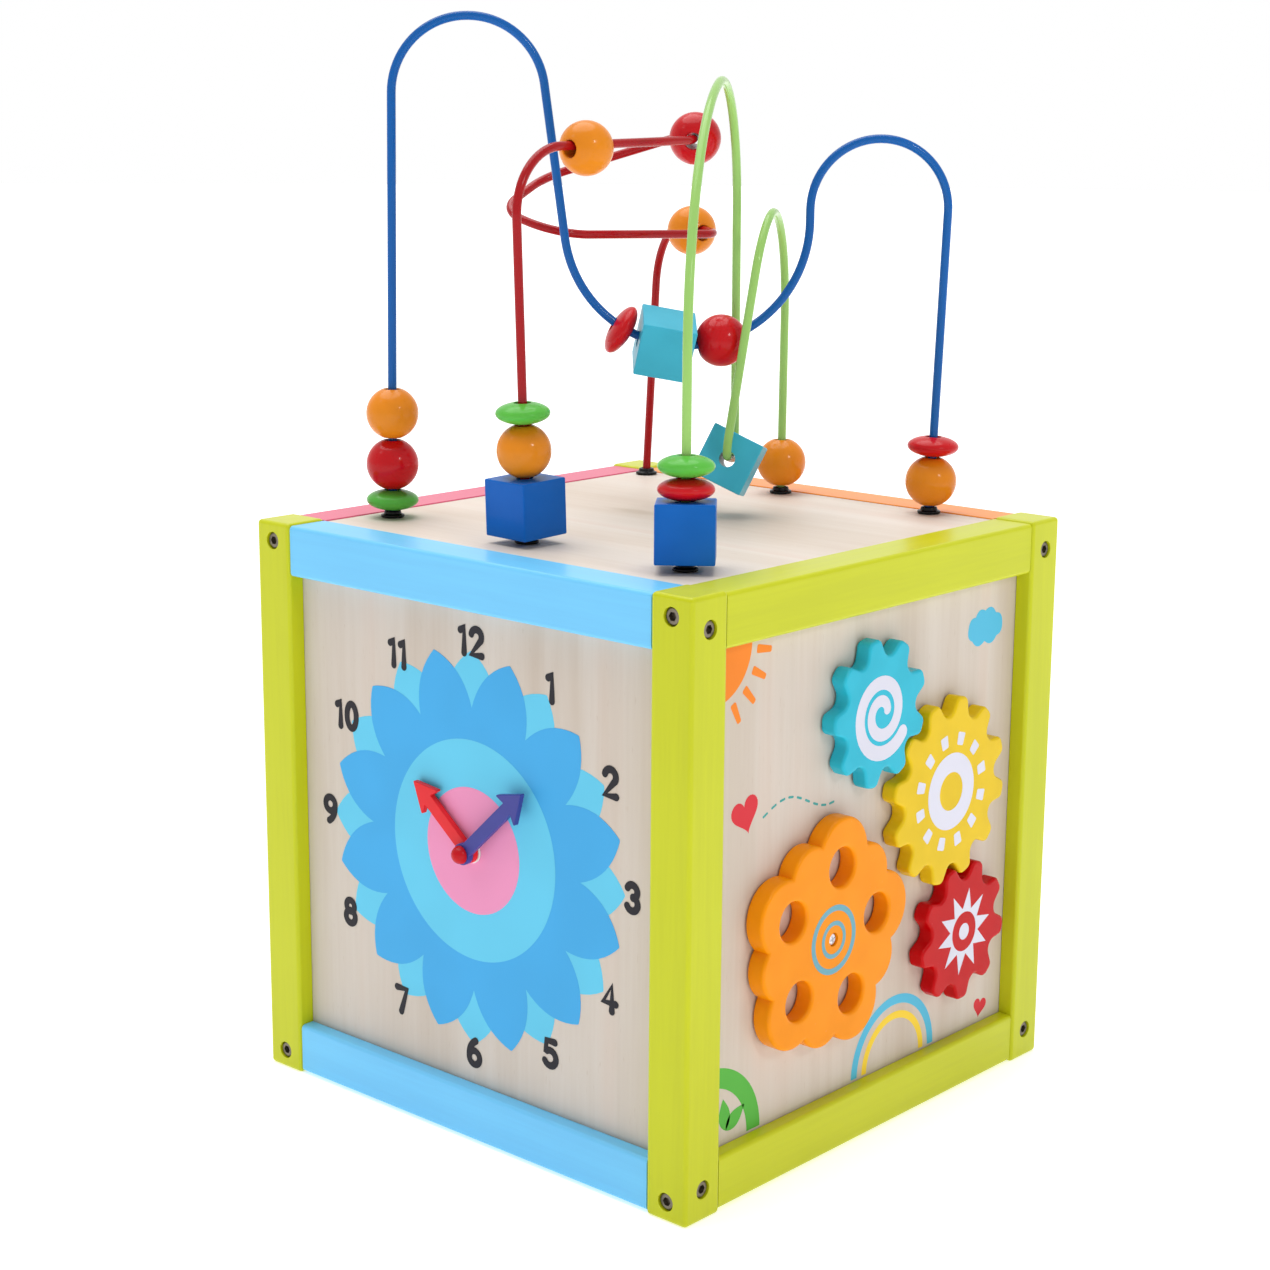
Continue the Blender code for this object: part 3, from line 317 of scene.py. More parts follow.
class NodeTree:
    """The nodes of a finish or of the room."""

    def __init__(self, tree):
        self.tree = tree

    def feed(self, socket, value):
        if isinstance(value, Signal):
            self.tree.links.new(value.socket, socket)
        else:
            socket.default_value = value

    def node(self, kind, settings, inputs, output=0):
        made = self.tree.nodes.new(kind)
        for name, value in settings.items():
            if name == "stops":
                self.set_stops(made.color_ramp, value)
            else:
                setattr(made, name, value)
        for name, value in inputs.items():
            self.feed(made.inputs[name], value)
        return Signal(self, made.outputs[output])

    def set_stops(self, ramp, stops):
        while len(ramp.elements) < len(stops):
            ramp.elements.new(1.0)
        for element, (place, colour) in zip(ramp.elements, stops):
            element.position = place
            element.color = colour


class Finish(NodeTree):
    """A material whose looks are worked out from the place on the piece. A noise's scale is in
    cells a metre, and a stretch under 1 draws its cells out along that axis."""

    def __init__(self, name, coat_roughness=0.03, specular=0.15):
        self.material = bpy.data.materials.new(name)
        self.material.use_nodes = True
        super().__init__(self.material.node_tree)
        self.set("Specular IOR Level", specular)
        self.set("Coat Roughness", coat_roughness)

    def set(self, socket, value):
        self.feed(self.tree.nodes["Principled BSDF"].inputs[socket], value)

    def place(self, stretch, shift=(0, 0, 0)):
        spot = self.node("ShaderNodeTexCoord", {}, {}, "Object")
        return self.node("ShaderNodeMapping", {},
                         {"Vector": spot, "Scale": stretch, "Location": shift})

    def noise(self, scale, detail=2, stretch=(1, 1, 1), distortion=0.0, shift=(0, 0, 0)):
        return self.node("ShaderNodeTexNoise", {},
                         {"Vector": self.place(stretch, shift), "Scale": scale, "Detail": detail,
                          "Distortion": distortion})

    def band(self, signal, low, high):
        """0 below low, 1 above high, and smooth between them."""
        return self.node("ShaderNodeMapRange", {"interpolation_type": "SMOOTHSTEP"},
                         {"Value": signal, "From Min": low, "From Max": high})

    def mix(self, share, first, second):
        return self.node("ShaderNodeMix", {"data_type": "RGBA"}, {0: share, 6: first, 7: second}, 2)

    def ramp(self, share, *stops):
        return self.node("ShaderNodeValToRGB", {"stops": stops}, {"Fac": share})

    def tint(self, tone, colour, dark, light):
        """The colour itself, times a share that goes from dark to light with the tone."""
        self.set("Base Color", self.mix(tone, shade(*colour, dark), shade(*colour, light)))

    def made(self, roughness, relief, depth, coat=0.0):
        """The material, once the rest of its looks are set."""
        self.set("Roughness", roughness)
        self.set("Coat Weight", coat)
        self.set("Normal", self.node("ShaderNodeBump", {}, {"Height": relief, "Distance": depth}))
        return self.material


def painted_wood(name, colour, stretch):
    """Opaque lacquer that lets a little of the grain under it show."""
    finish = Finish(name, coat_roughness=0.22)
    bands = finish.noise(70, 3, stretch, distortion=0.6)
    fibre = finish.noise(520, 3, stretch)
    cloud = finish.noise(11)
    peel = finish.noise(900, 1)
    tone = finish.band(bands * 0.45 + fibre * 0.25 + cloud * 0.3, 0.36, 0.64)
    finish.tint(tone, colour, 0.95, 1.03)
    relief = bands * 0.5 + fibre * 0.35 + peel * 0.15
    return finish.made(0.34 + fibre * 0.10 - cloud * 0.06, relief, 0.06 * MM, 0.18 + cloud * 0.08)


def birch(name, stretch, lift, streak_shift=(0, 0, 0), knot=None):
    """Pale plywood under a thin clear coat: soft tan streaks, fine fibres and short dark pores."""
    finish = Finish(name, coat_roughness=0.35)
    growth = finish.noise(16, 3, stretch, 0.8, streak_shift)
    streak = finish.noise(48, 4, stretch, 0.5)
    fibre = finish.noise(420, 4, stretch)
    pores = finish.noise(900, 1, tuple(part ** 0.6 for part in stretch))
    cloud = finish.noise(7)
    tone = growth * 0.42 + streak * 0.30 + fibre * 0.10 + cloud * 0.18
    # The lift scales the whole wood colour as painted light: under 1 it is painted shade on the
    # upright panels, over 1 it is painted light on the level boards.
    wood = finish.ramp(
        tone, (0.30, shade(203, 185, 168, lift)), (0.44, shade(215, 201, 187, lift)),
        (0.56, shade(224, 213, 202, lift)), (0.72, shade(231, 222, 213, lift)))
    warm = finish.band(growth, 0.56, 0.72) * 0.30
    wood = finish.mix(warm, wood, shade(212, 180, 160))
    if knot:
        away = finish.node("ShaderNodeVectorMath", {"operation": "SUBTRACT"},
                           {0: finish.place(KNOT_STRETCH), 1: knot})
        far = finish.node("ShaderNodeVectorMath", {"operation": "LENGTH"}, {0: away}, 1)
        ring = finish.band(far + growth * 0.006, KNOT_SIZE, KNOT_SIZE * 2)
        wood = finish.mix((1 - ring) * 0.55, wood, shade(190, 172, 150))
    pore = finish.band(pores, 0.70, 0.80) * 0.18
    finish.set("Base Color", finish.mix(pore, wood, shade(176, 150, 124)))
    relief = fibre * 0.6 + streak * 0.3 - pore * 0.6
    return finish.made(0.50 + fibre * 0.12, relief, 0.10 * MM, 0.10 + streak * 0.08)


def bead_lacquer(name, colour, roughness=0.24, coat=0.20):
    """Glossy paint on turned wood: an even skin with a faint orange peel and cloudier depth."""
    finish = Finish(name, coat_roughness=0.10, specular=0.08)
    cloud = finish.noise(55)
    peel = finish.noise(420)
    pits = finish.noise(1300, 1)
    finish.tint(finish.band(cloud, 0.3, 0.7), colour, 0.96, 1.03)
    relief = peel * 0.7 + pits * 0.3
    return finish.made(roughness + peel * 0.10, relief, 0.06 * MM, coat + cloud * 0.1)


def enamel(name, colour):
    """Dipped enamel on steel wire: small ripples along it and a hard gloss."""
    finish = Finish(name, coat_roughness=0.04, specular=0.08)
    drift = finish.noise(14, 1)
    ripple = finish.noise(120, 1)
    finish.tint(finish.band(drift, 0.3, 0.7), colour, 0.95, 1.04)
    return finish.made(0.14 + ripple * 0.08, ripple, 0.02 * MM, 0.2 + drift * 0.1)


def ink(name, colour):
    """A screen-printed layer: flat, slightly mottled, with the fibres of the wood under it."""
    finish = Finish(name)
    cloud = finish.noise(24, 1)
    grain = finish.noise(420, 2, (1, 1, 0.05))
    finish.tint(finish.band(cloud, 0.3, 0.7), colour, 0.97, 1.02)
    return finish.made(0.42 + grain * 0.1, grain, 0.02 * MM)


def moulded_plastic(name, colour, roughness):
    """Moulded plastic with a faint uneven sheen and the mould's fine texture."""
    finish = Finish(name)
    sheen = finish.noise(140)
    texture = finish.noise(1500, 1)
    finish.tint(sheen, colour, 0.9, 1.08)
    return finish.made(roughness + sheen * 0.10, texture * 0.4 + sheen * 0.6, 0.04 * MM)


def plated_steel(name, colour, roughness, metal=0.95):
    """Plated steel with turning marks and a slight tarnish."""
    finish = Finish(name)
    tarnish = finish.noise(220, 3)
    turning = finish.noise(1400)
    worn = finish.band(tarnish, 0.45, 0.75)
    finish.tint(worn, colour, 1.0, 0.6)
    finish.set("Metallic", metal - worn * 0.15)
    return finish.made(roughness + tarnish * 0.15, turning, 0.04 * MM)


def chalkboard(name):
    """Matt slate paint with a little wiped chalk left on it."""
    finish = Finish(name)
    swipe = finish.noise(9, 4, (1, 1, 0.35), 1.4)
    dust = finish.noise(600, 3)
    haze = finish.band(swipe, 0.46, 0.78) * 0.16 + finish.band(dust, 0.55, 0.8) * 0.05
    finish.set("Base Color", finish.mix(haze, shade(44, 48, 50), shade(196, 200, 200)))
    return finish.made(0.78 + dust * 0.15, dust, 0.08 * MM)


def paper_floor(name):
    """Pale seamless paper under even light."""
    finish = Finish(name)
    tooth = finish.noise(400)
    finish.set("Base Color", finish.mix(tooth, (0.86, 0.86, 0.86, 1), (0.90, 0.90, 0.90, 1)))
    finish.set("Roughness", 0.9)
    finish.set("Emission Color", (1, 1, 1, 1))
    finish.set("Emission Strength", FLOOR_LIGHT)
    return finish.material


ALONG_X, ALONG_Y, ALONG_Z = (0.045, 1, 1), (1, 0.045, 1), (1, 1, 0.045)
KNOT_STRETCH, KNOT_SIZE = (0.4, 1, 1), 0.006
KNOT_PLACE = (-0.0115, 0.0117, 0.297)
LIME = (201, 207, 20)

# What makes each finish, its name, the record's slot that it belongs to, and its own values
RECIPES = (
    (painted_wood, "lime_lacquer_upright", "lime", LIME, ALONG_Z),
    (painted_wood, "sky_blue_lacquer", "sky_blue", (118, 206, 255), ALONG_X),
    (painted_wood, "lime_lacquer_level", "lime", LIME, ALONG_Y),
    (painted_wood, "orange_lacquer", "orange", (244, 148, 50), ALONG_X),
    (painted_wood, "pink_lacquer", "pink", (224, 96, 128), ALONG_Y),
    # The last number of each birch row scales its colour as painted light: 0.92 and 0.96 are
    # painted shade on the upright panels, 1.04 is painted light on the level boards.
    (birch, "birch_ply_upright", "birch", ALONG_Z, 0.92),
    (birch, "birch_ply_across", "birch", ALONG_Y, 0.96, (0.3, 0, 0)),
    (birch, "birch_ply_level", "birch", ALONG_X, 1.04, (0, 0, 0), KNOT_PLACE),
    (chalkboard, "chalkboard", "slate"),
    (enamel, "blue_enamel", "wire_blue", (6, 92, 170)),
    (enamel, "green_enamel", "wire_green", (160, 208, 112)),
    (enamel, "red_enamel", "wire_red", (170, 14, 22)),
    (bead_lacquer, "orange_bead_lacquer", "orange", (236, 140, 26)),
    (bead_lacquer, "red_bead_lacquer", "red", (204, 14, 24)),
    (bead_lacquer, "green_bead_lacquer", "green", (92, 188, 68)),
    (bead_lacquer, "blue_bead_lacquer", "blue", (6, 100, 190), 0.32, 0.06),
    (bead_lacquer, "teal_bead_lacquer", "teal", (72, 188, 216), 0.32, 0.06),
    (bead_lacquer, "teal_gear_lacquer", "teal", (44, 186, 212), 0.2, 0.10),
    (bead_lacquer, "yellow_gear_lacquer", "yellow", (232, 196, 14), 0.2, 0.10),
    (bead_lacquer, "red_gear_lacquer", "red", (196, 0, 10), 0.2, 0.03),
    (bead_lacquer, "orange_wheel_lacquer", "orange", (252, 150, 0), 0.2, 0.05),
    (moulded_plastic, "red_hand_plastic", "red", (232, 44, 50), 0.28),
    (moulded_plastic, "violet_hand_plastic", "violet", (70, 72, 150), 0.28),
    (moulded_plastic, "red_cap_plastic", "red", (200, 20, 30), 0.14),
    (moulded_plastic, "black_plastic", "black", (22, 22, 24), 0.16),
    (moulded_plastic, "white_plastic", "white", (236, 236, 232), 0.35),
    (plated_steel, "bronzed_steel", "steel", (120, 112, 100), 0.34),
    (plated_steel, "zinc_plated_steel", "steel", (178, 180, 184), 0.28),
    (plated_steel, "bright_screw_steel", "steel", (236, 236, 240), 0.42, 0.45),
    (ink, "petal_blue_ink", "sky_blue", (72, 174, 234)),
    (ink, "pale_blue_ink", "teal", (104, 206, 240)),
    (ink, "pink_ink", "pink", (240, 152, 194)),
    (ink, "black_ink", "black", (42, 40, 46)),
    (ink, "white_ink", "white", (222, 222, 236)),
    (ink, "ring_blue_ink", "sky_blue", (112, 172, 190)),
    (ink, "sky_ink", "sky_blue", (86, 190, 226)),
    (ink, "orange_ink", "orange", (246, 136, 40)),
    (ink, "leaf_green_ink", "green", (92, 186, 72)),
    (ink, "red_ink", "red", (218, 50, 62)),
    (ink, "teal_ink", "teal", (72, 164, 160)),
    (ink, "yellow_ink", "yellow", (250, 214, 60)),
)
FINISHES = {name: (make(name, *values), slot) for make, name, slot, *values in RECIPES}
RAIL_FINISHES = ("sky_blue_lacquer", "lime_lacquer_level", "orange_lacquer", "pink_lacquer")


# Outlines

def arc(centre, radius, start, end, steps):
    angles = [start + (end - start) * i / steps for i in range(steps + 1)]
    return [(centre[0] + radius * math.cos(angle), centre[1] + radius * math.sin(angle))
            for angle in angles]


def circle(radius, steps=48, centre=(0, 0)):
    return arc(centre, radius, 0, FULL_TURN, steps)[:-1]


def turn_points(points, angle):
    cosine, sine = math.cos(angle), math.sin(angle)
    return [(x * cosine - y * sine, x * sine + y * cosine) for x, y in points]


def around(points, count, phase):
    """An outline of so many turned copies of a run of points."""
    turns = [phase + FULL_TURN * i / count for i in range(count)]
    return [point for turn in turns for point in turn_points(points, turn)]


def shift_points(points, x, y):
    return [(a + x, b + y) for a, b in points]


def polar(angle, distance):
    return (distance * math.cos(angle), distance * math.sin(angle))


def round_corners(corners, radii, tolerance, closed=False):
    """The corners as points, each bend an arc that strays from its curve by no more than the
    tolerance."""
    corners = [Vector(corner) for corner in corners]
    count = len(corners)
    points = []
    for i, corner in enumerate(corners):
        if radii[i] == 0 or (not closed and i in (0, count - 1)):
            points.append(corner)
            continue
        toward = (corners[i - 1] - corner).normalized()
        away = (corners[(i + 1) % count] - corner).normalized()
        turn = math.pi - toward.angle(away)
        start = corner + toward * radii[i] * math.tan(turn / 2)
        centre = corner + (toward + away).normalized() * radii[i] / math.cos(turn / 2)
        arm = start - centre
        steps = max(2, math.ceil(turn / (2 * math.acos(1 - tolerance / radii[i]))))
        for j in range(steps + 1):
            angle = turn * j / steps
            points.append(centre + arm * math.cos(angle) - toward * radii[i] * math.sin(angle))
    return points


def rounded(corners, closed=True):
    """A flat outline or profile from corners (x, y), or (x, y, radius) where they are rounded."""
    radii = [corner[2] if len(corner) > 2 else 0 for corner in corners]
    corners = [(*corner[:2], 0) for corner in corners]
    points = round_corners(corners, radii, OUTLINE_TOLERANCE, closed)
    return [(point.x, point.y) for point in points]


def bar(start, end, start_width, end_width, radius):
    """A short bar along X with rounded corners."""
    near, far = start_width / 2, end_width / 2
    return rounded([(start, -near, radius), (end, -far, radius), (end, far, radius),
                    (start, near, radius)])


# Solids

def moved(x, y, z):
    return Matrix.Translation((x, y, z))


def spun(angle, axis):
    return Matrix.Rotation(angle, 4, axis)


def in_scene(name, data):
    item = bpy.data.objects.new(name, data)
    bpy.context.scene.collection.objects.link(item)
    return item


def taken_out(item):
    """The finished mesh of an object as a bmesh, in place of the object."""
    shape = item.evaluated_get(bpy.context.evaluated_depsgraph_get())
    mesh = bpy.data.meshes.new_from_object(shape)
    bm = bmesh.new()
    bm.from_mesh(mesh)
    bpy.data.objects.remove(item)
    bpy.data.meshes.remove(mesh)
    return bm


def turned(corners, sides=48, ring=False):
    """A profile, as rounded takes it, turned round local Z; a ring's profile is closed."""
    bm = bmesh.new()
    verts = [bm.verts.new((radius, 0, height)) for radius, height in rounded(corners)]
    edges = [bm.edges.new(pair) for pair in zip(verts, verts[1:])]
    if ring:
        edges.append(bm.edges.new((verts[-1], verts[0])))
    bmesh.ops.spin(bm, geom=verts + edges, cent=(0, 0, 0), axis=(0, 0, 1), angle=FULL_TURN,
                   steps=sides, use_merge=True)
    bmesh.ops.remove_doubles(bm, verts=bm.verts, dist=WELD)
    return bm


def drill(radius, low, high, sides):
    return turned([(0, low), (radius, low), (radius, high), (0, high)], sides)


def draw(curve, points, closed):
    """One more line on a curve, straight from point to point."""
    spline = curve.splines.new("POLY")
    spline.points.add(len(points) - 1)
    for spot, point in zip(spline.points, points):
        spot.co = (*Vector(point).to_3d(), 1)
    spline.use_cyclic_u = closed


def settled(curve, place=Matrix()):
    """The mesh of a curve, as a bmesh."""
    bm = taken_out(in_scene("outline", curve))
    bm.transform(place)
    bmesh.ops.remove_doubles(bm, verts=bm.verts, dist=WELD)
    return bm


def plate(loops, thickness, edge=0.0, steps=4):
    """A plate that lies on local Z 0, from closed outlines with rims of a round edge. Outlines
    inside another are holes."""
    curve = bpy.data.curves.new("outline", "CURVE")
    curve.dimensions = "2D"
    curve.fill_mode = "BOTH"
    curve.extrude = thickness / 2 - edge
    curve.bevel_depth = edge
    curve.bevel_resolution = steps
    curve.offset = -edge
    for loop in loops:
        draw(curve, loop, True)
    return settled(curve, moved(0, 0, thickness / 2))


def rods(lines, diameter, steps, caps):
    """Round rods along lines, which are (points, whether it closes)."""
    curve = bpy.data.curves.new("rods", "CURVE")
    curve.dimensions = "3D"
    curve.bevel_depth = diameter / 2
    curve.bevel_resolution = steps
    curve.use_fill_caps = caps
    for points, closed in lines:
        draw(curve, points, closed)
    return settled(curve)


def brick(low, high, edge=0.0, steps=4):
    """A block with rounded edges."""
    size, centre = Vector(high) - Vector(low), (Vector(high) + Vector(low)) / 2
    bm = bmesh.new()
    bmesh.ops.create_cube(bm, size=1, matrix=moved(*centre) @ Matrix.Diagonal((*size, 1)))
    if edge:
        bmesh.ops.bevel(bm, geom=bm.edges[:], offset=edge, segments=steps, profile=0.5,
                        affect="EDGES", material=-1)
    return bm


def gather(parts):
    """Several bmeshes, each with its place, as one."""
    whole = bmesh.new()
    for part, place in parts:
        part.transform(place)
        spare = bpy.data.meshes.new("part")
        part.to_mesh(spare)
        part.free()
        whole.from_mesh(spare)
        bpy.data.meshes.remove(spare)
    return whole


def as_object(name, bm):
    bmesh.ops.recalc_face_normals(bm, faces=bm.faces)
    mesh = bpy.data.meshes.new(name)
    bm.to_mesh(mesh)
    bm.free()
    return in_scene(name, mesh)


def carved(bm, cutter):
    """The first bmesh with the second cut out of it."""
    body, tool = as_object("body", bm), as_object("tool", cutter)
    cut = body.modifiers.new("cut", "BOOLEAN")
    cut.operation = "DIFFERENCE"
    cut.solver = "EXACT"
    cut.object = tool
    result = taken_out(body)
    bpy.data.objects.remove(tool)
    return result


def show(name, bm, body, finish, replaces=(), place=Matrix()):
    """Puts a finished piece in its place, on the body that it moves with."""
    material, slot = FINISHES[finish]
    bm.transform(place)
    piece = as_object(name, bm)
    piece.data.shade_smooth()
    piece.data.set_sharp_from_angle(angle=SHARP)
    piece.data.materials.append(material)
    piece.modifiers.new("even_shading", "WEIGHTED_NORMAL").keep_sharp = True
    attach(piece, body)
    if replaces:
        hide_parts(*replaces)


def dress(node, finish):
    """Gives a solid that stays in sight its finish."""
    materials = NODES[node].data.materials
    materials.clear()
    materials.append(FINISHES[finish][0])


def side_turn(side):
    return spun(side * QUARTER, "Z")


def out_of(side, across, height, distance, turn=0.0):
    """Local X runs right, Y up and Z out of a side, at a distance from the box's middle."""
    place = moved(across, -distance, height) @ spun(QUARTER, "X")
    return side_turn(side) @ place @ spun(turn, "Z")


def on_face(side, across=0.0, height=0.0, proud=0.0, turn=0.0):
    return out_of(side, across, height, PANEL_FACE + proud, turn)


# The frame of posts and rails

def screw_places(side):
    inset = SCREW_INSETS[side % 2]
    return [(side, across, height) for across in (-POST_MIDDLE, POST_MIDDLE)
            for height in (inset, POST_HEIGHT - inset)]


def post_cutter(post):
    """The counterbores and holes of a post's screws, and the grooves for its two panels."""
    wide, narrow, through = COUNTERBORE / 2, SCREW_HOLE / 2, -POST_SIZE - MM
    profile = [(0, MM), (wide, MM), (wide, -COUNTERBORE_DEPTH), (narrow, -COUNTERBORE_DEPTH),
               (narrow, through), (0, through)]
    places = [place for place in screw_places(post) if place[1] < 0]
    places += [place for place in screw_places((post - 1) % 4) if place[1] > 0]
    parts = [(turned(profile, 40), out_of(*place, HALF)) for place in places]
    near, far = PANEL_FACE + FIT, PANEL_BACK - FIT
    side, deep = WINDOW_HALF - FIT, PANEL_REACH + FIT
    bottom, top = POST_HEIGHT - PANEL_TOP - FIT, PANEL_TOP + FIT
    parts.append((brick((-deep, -near, bottom), (-side, -far, top)), side_turn(post)))
    parts.append((brick((-near, -deep, bottom), (-far, -side, top)), side_turn(post)))
    return gather(parts)


def make_posts():
    for post, name in enumerate(POST_NAMES):
        block = brick((-HALF, -HALF, 0), (-WINDOW_HALF, -WINDOW_HALF, POST_HEIGHT), POST_ROUND, 5)
        block.transform(side_turn(post))
        show(name + "_wood", carved(block, post_cutter(post)), "cube", "lime_lacquer_upright",
             [name])


def make_rails():
    groove_out, groove_in, groove_top = -PANEL_FACE - FIT, FIT - PANEL_BACK, PANEL_TOP + FIT
    reach, ledge_top = WINDOW_HALF - LEDGE_WIDTH, TOP_UNDERSIDE - FIT
    outline = rounded([
        (-RAIL_OUTER, WINDOW_TOP, RAIL_ROUND), (groove_out, WINDOW_TOP, GROOVE_ROUND),
        (groove_out, groove_top), (groove_in, groove_top), (groove_in, WINDOW_TOP, GROOVE_ROUND),
        (-reach, WINDOW_TOP, LEDGE_ROUND), (-reach, ledge_top, LEDGE_ROUND),
        (-WINDOW_HALF, ledge_top), (-WINDOW_HALF, RAIL_TOP, LEDGE_ROUND),
        (-RAIL_OUTER, RAIL_TOP, RAIL_ROUND)])
    length = 2 * (WINDOW_HALF - FIT)
    stand_up = moved(-length / 2, 0, 0) @ spun(QUARTER, "Z") @ spun(QUARTER, "X")
    upside_down = moved(0, 0, POST_HEIGHT) @ Matrix.Diagonal((1, 1, -1, 1))
    for side, side_name in enumerate(SIDE_NAMES):
        for level in ("top", "bottom"):
            rail = plate([outline], length)
            rail.transform(stand_up)
            if side % 2:
                ends = ((reach - FIT, HALF), (-HALF, FIT - reach))
                notches = [(brick((start, -WINDOW_HALF - WELD, 0), (end, FIT - reach, POST_HEIGHT)),
                            Matrix()) for start, end in ends]
                rail = carved(rail, gather(notches))
            if level == "bottom":
                rail.transform(upside_down)
            node = f"rail_{side_name}_{level}"
            show(node + "_wood", rail, "cube", RAIL_FINISHES[side], [node], side_turn(side))


def make_frame_screws():
    """Furniture screws with a domed rim and a hex socket, sunk in the posts."""
    radius, shank = SCREW_HEAD / 2, SCREW_SHANK / 2
    depth = COUNTERBORE_DEPTH - SCREW_DROP - SCREW_SEAT
    head = [(0, 0), (radius, 0, SCREW_DOME), (radius, -depth), (shank, -depth),
            (shank, -SCREW_LENGTH, SCREW_END_ROUND), (0, -SCREW_LENGTH)]
    hexagon = circle(SOCKET_ACROSS / 2 / math.cos(math.pi / 6), 6)
    parts = []
    for side in range(4):
        for place in screw_places(side):
            socket = plate([hexagon], SOCKET_DEPTH + 1.6 * MM)
            socket.transform(moved(0, 0, -SOCKET_DEPTH))
            parts.append((carved(turned(head, 40), socket), out_of(*place, HALF - SCREW_DROP)))
    show("frame_screws", gather(parts), "cube", "bronzed_steel")


def slot_outline(radius):
    return (arc((SLOT_STRAIGHT, 0), radius, -QUARTER, QUARTER, 20)
            + arc((-SLOT_STRAIGHT, 0), radius, QUARTER, 3 * QUARTER, 20))


def make_panels():
    dress("panel_front", "birch_ply_upright")
    dress("panel_right", "birch_ply_upright")
    dress("panel_back", "chalkboard")
    for node in ("panel_top", "panel_bottom"):
        board = brick(*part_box(node), LEVEL_PANEL_EDGE, 3)
        if node == "panel_top":
            board = carved(board, foot_holes())
        show(node + "_board", board, "cube", "birch_ply_level", [node])
    slots = [(plate([slot_outline(SLOT_WIDTH / 2)], PANEL_THICKNESS + 2 * MM),
              on_face(LEFT, 0, height, -PANEL_THICKNESS - MM)) for height in SLOT_HEIGHTS]
    board = carved(brick(*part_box("panel_left"), SIDE_PANEL_EDGE, 2), gather(slots))
    show("panel_left_board", board, "cube", "birch_ply_across", ["panel_left"])


# The bead maze

def lift(corners):
    return [Vector((x * MM, y * MM, TOP_FACE + height * MM)) for x, y, height in corners]


def blue_corners():
    x, y = BLUE_FOOT
    along_x, along_y = polar(BLUE_HEADING, 1)
    return [(x + along * along_x, y + along * along_y, height) for along, height in BLUE_CORNERS]


WIRES = (("blue", lift(blue_corners()), BLUE_BENDS), ("green", lift(GREEN_CORNERS), GREEN_BENDS),
         ("red", lift(RED_CORNERS), RED_BENDS))


def wire_feet():
    """Each foot on the top panel with the direction of its leg, in the order of the collars."""
    feet = []
    for _, corners, _ in WIRES:
        feet.append((corners[0], (corners[1] - corners[0]).normalized()))
        feet.append((corners[-1], (corners[-2] - corners[-1]).normalized()))
    return feet


def foot_holes():
    tools = []
    for foot, up in wire_feet():
        spot = foot - up * (PANEL_THICKNESS / 2 / up.z)
        hole = drill(WIRE_BORE, TOP_UNDERSIDE - MM, TOP_FACE + MM, 24)
        tools.append((hole, moved(spot.x, spot.y, 0)))
    return gather(tools)


def make_wires():
    for colour, corners, bends in WIRES:
        route = list(corners)
        for index, toward in ((0, 1), (-1, -2)):
            up = (route[toward] - route[index]).normalized()
            route[index] = route[index] - up * (PANEL_THICKNESS + WIRE_TAIL)
        points = round_corners(route, [0, *(bend * MM for bend in bends), 0], WIRE_TOLERANCE)
        node = "wire_" + colour
        show(node + "_enamel", rods([(points, False)], WIRE_DIAMETER, 8, True), "cube",
             colour + "_enamel", [node])


def make_collars():
    """Black moulded collars with a flange and a rolled lip, and nuts where there is room."""
    flange, neck, top = COLLAR_DIAMETER / 2, FIT + COLLAR_SHOULDER[1], FIT + COLLAR_TOP[1]
    profile = [(WIRE_BORE, FIT, 0.0003), (flange, FIT, 0.0005),
               (flange, FIT + COLLAR_FLANGE, 0.0005), (COLLAR_SHOULDER[0], neck, 0.0004),
               (COLLAR_TOP[0], top, 0.0007), (WIRE_BORE, top, 0.0004)]
    nuts = []
    for index, (foot, up) in enumerate(wire_feet()):
        spot = foot + up * (COLLAR_TOP[1] / 2 / up.z)
        node = f"wire_collar_{index + 1}"
        show(node + "_moulding", turned(profile, 48, ring=True), "cube", "black_plastic", [node],
             moved(spot.x, spot.y, TOP_FACE))
        if max(abs(foot.x), abs(foot.y)) < WINDOW_HALF - LEDGE_WIDTH - NUT_ROOM:
            nut = plate([circle(NUT_SIZE / 2, 6), circle(WIRE_BORE, 32)], NUT_HEIGHT, NUT_EDGE, 2)
            spot = foot - up * NUT_REACH
            nuts.append((nut, moved(spot.x, spot.y, spot.z - NUT_DROP)))
    show("wire_nuts", gather(nuts), "cube", "zinc_plated_steel")


def bore_line(node):
    """A bead's place with Z along its bore. A cube's X and Y stand square to its faces; the
    longest edges of the other beads are the walls of the bore."""
    mesh = NODES[node].data
    if "cube" in node:
        faces = sorted(mesh.polygons, key=lambda face: -face.area)
        first = faces[0].normal
        second = next(face.normal for face in faces if abs(face.normal.dot(first)) < 0.1)
        along = first.cross(second).normalized()
        turn = Matrix((first, along.cross(first), along)).transposed()
    else:
        spots = [vertex.co for vertex in mesh.vertices]
        spans = [spots[edge.vertices[0]] - spots[edge.vertices[1]] for edge in mesh.edges]
        longest = max(span.length for span in spans)
        walls = [span for span in spans if span.length > 0.9 * longest]
        along = sum((span if span.dot(walls[0]) > 0 else -span for span in walls), Vector())
        turn = Vector((0, 0, 1)).rotation_difference(along.normalized()).to_matrix()
    return moved(*box_middle(node)) @ turn.to_4x4()


def cube_bead():
    half = CUBE_SIZE / 2
    return carved(brick((-half,) * 3, (half,) * 3, CUBE_ROUND, 4),
                  drill(BEAD_BORE / 2, -CUBE_SIZE, CUBE_SIZE, 40))


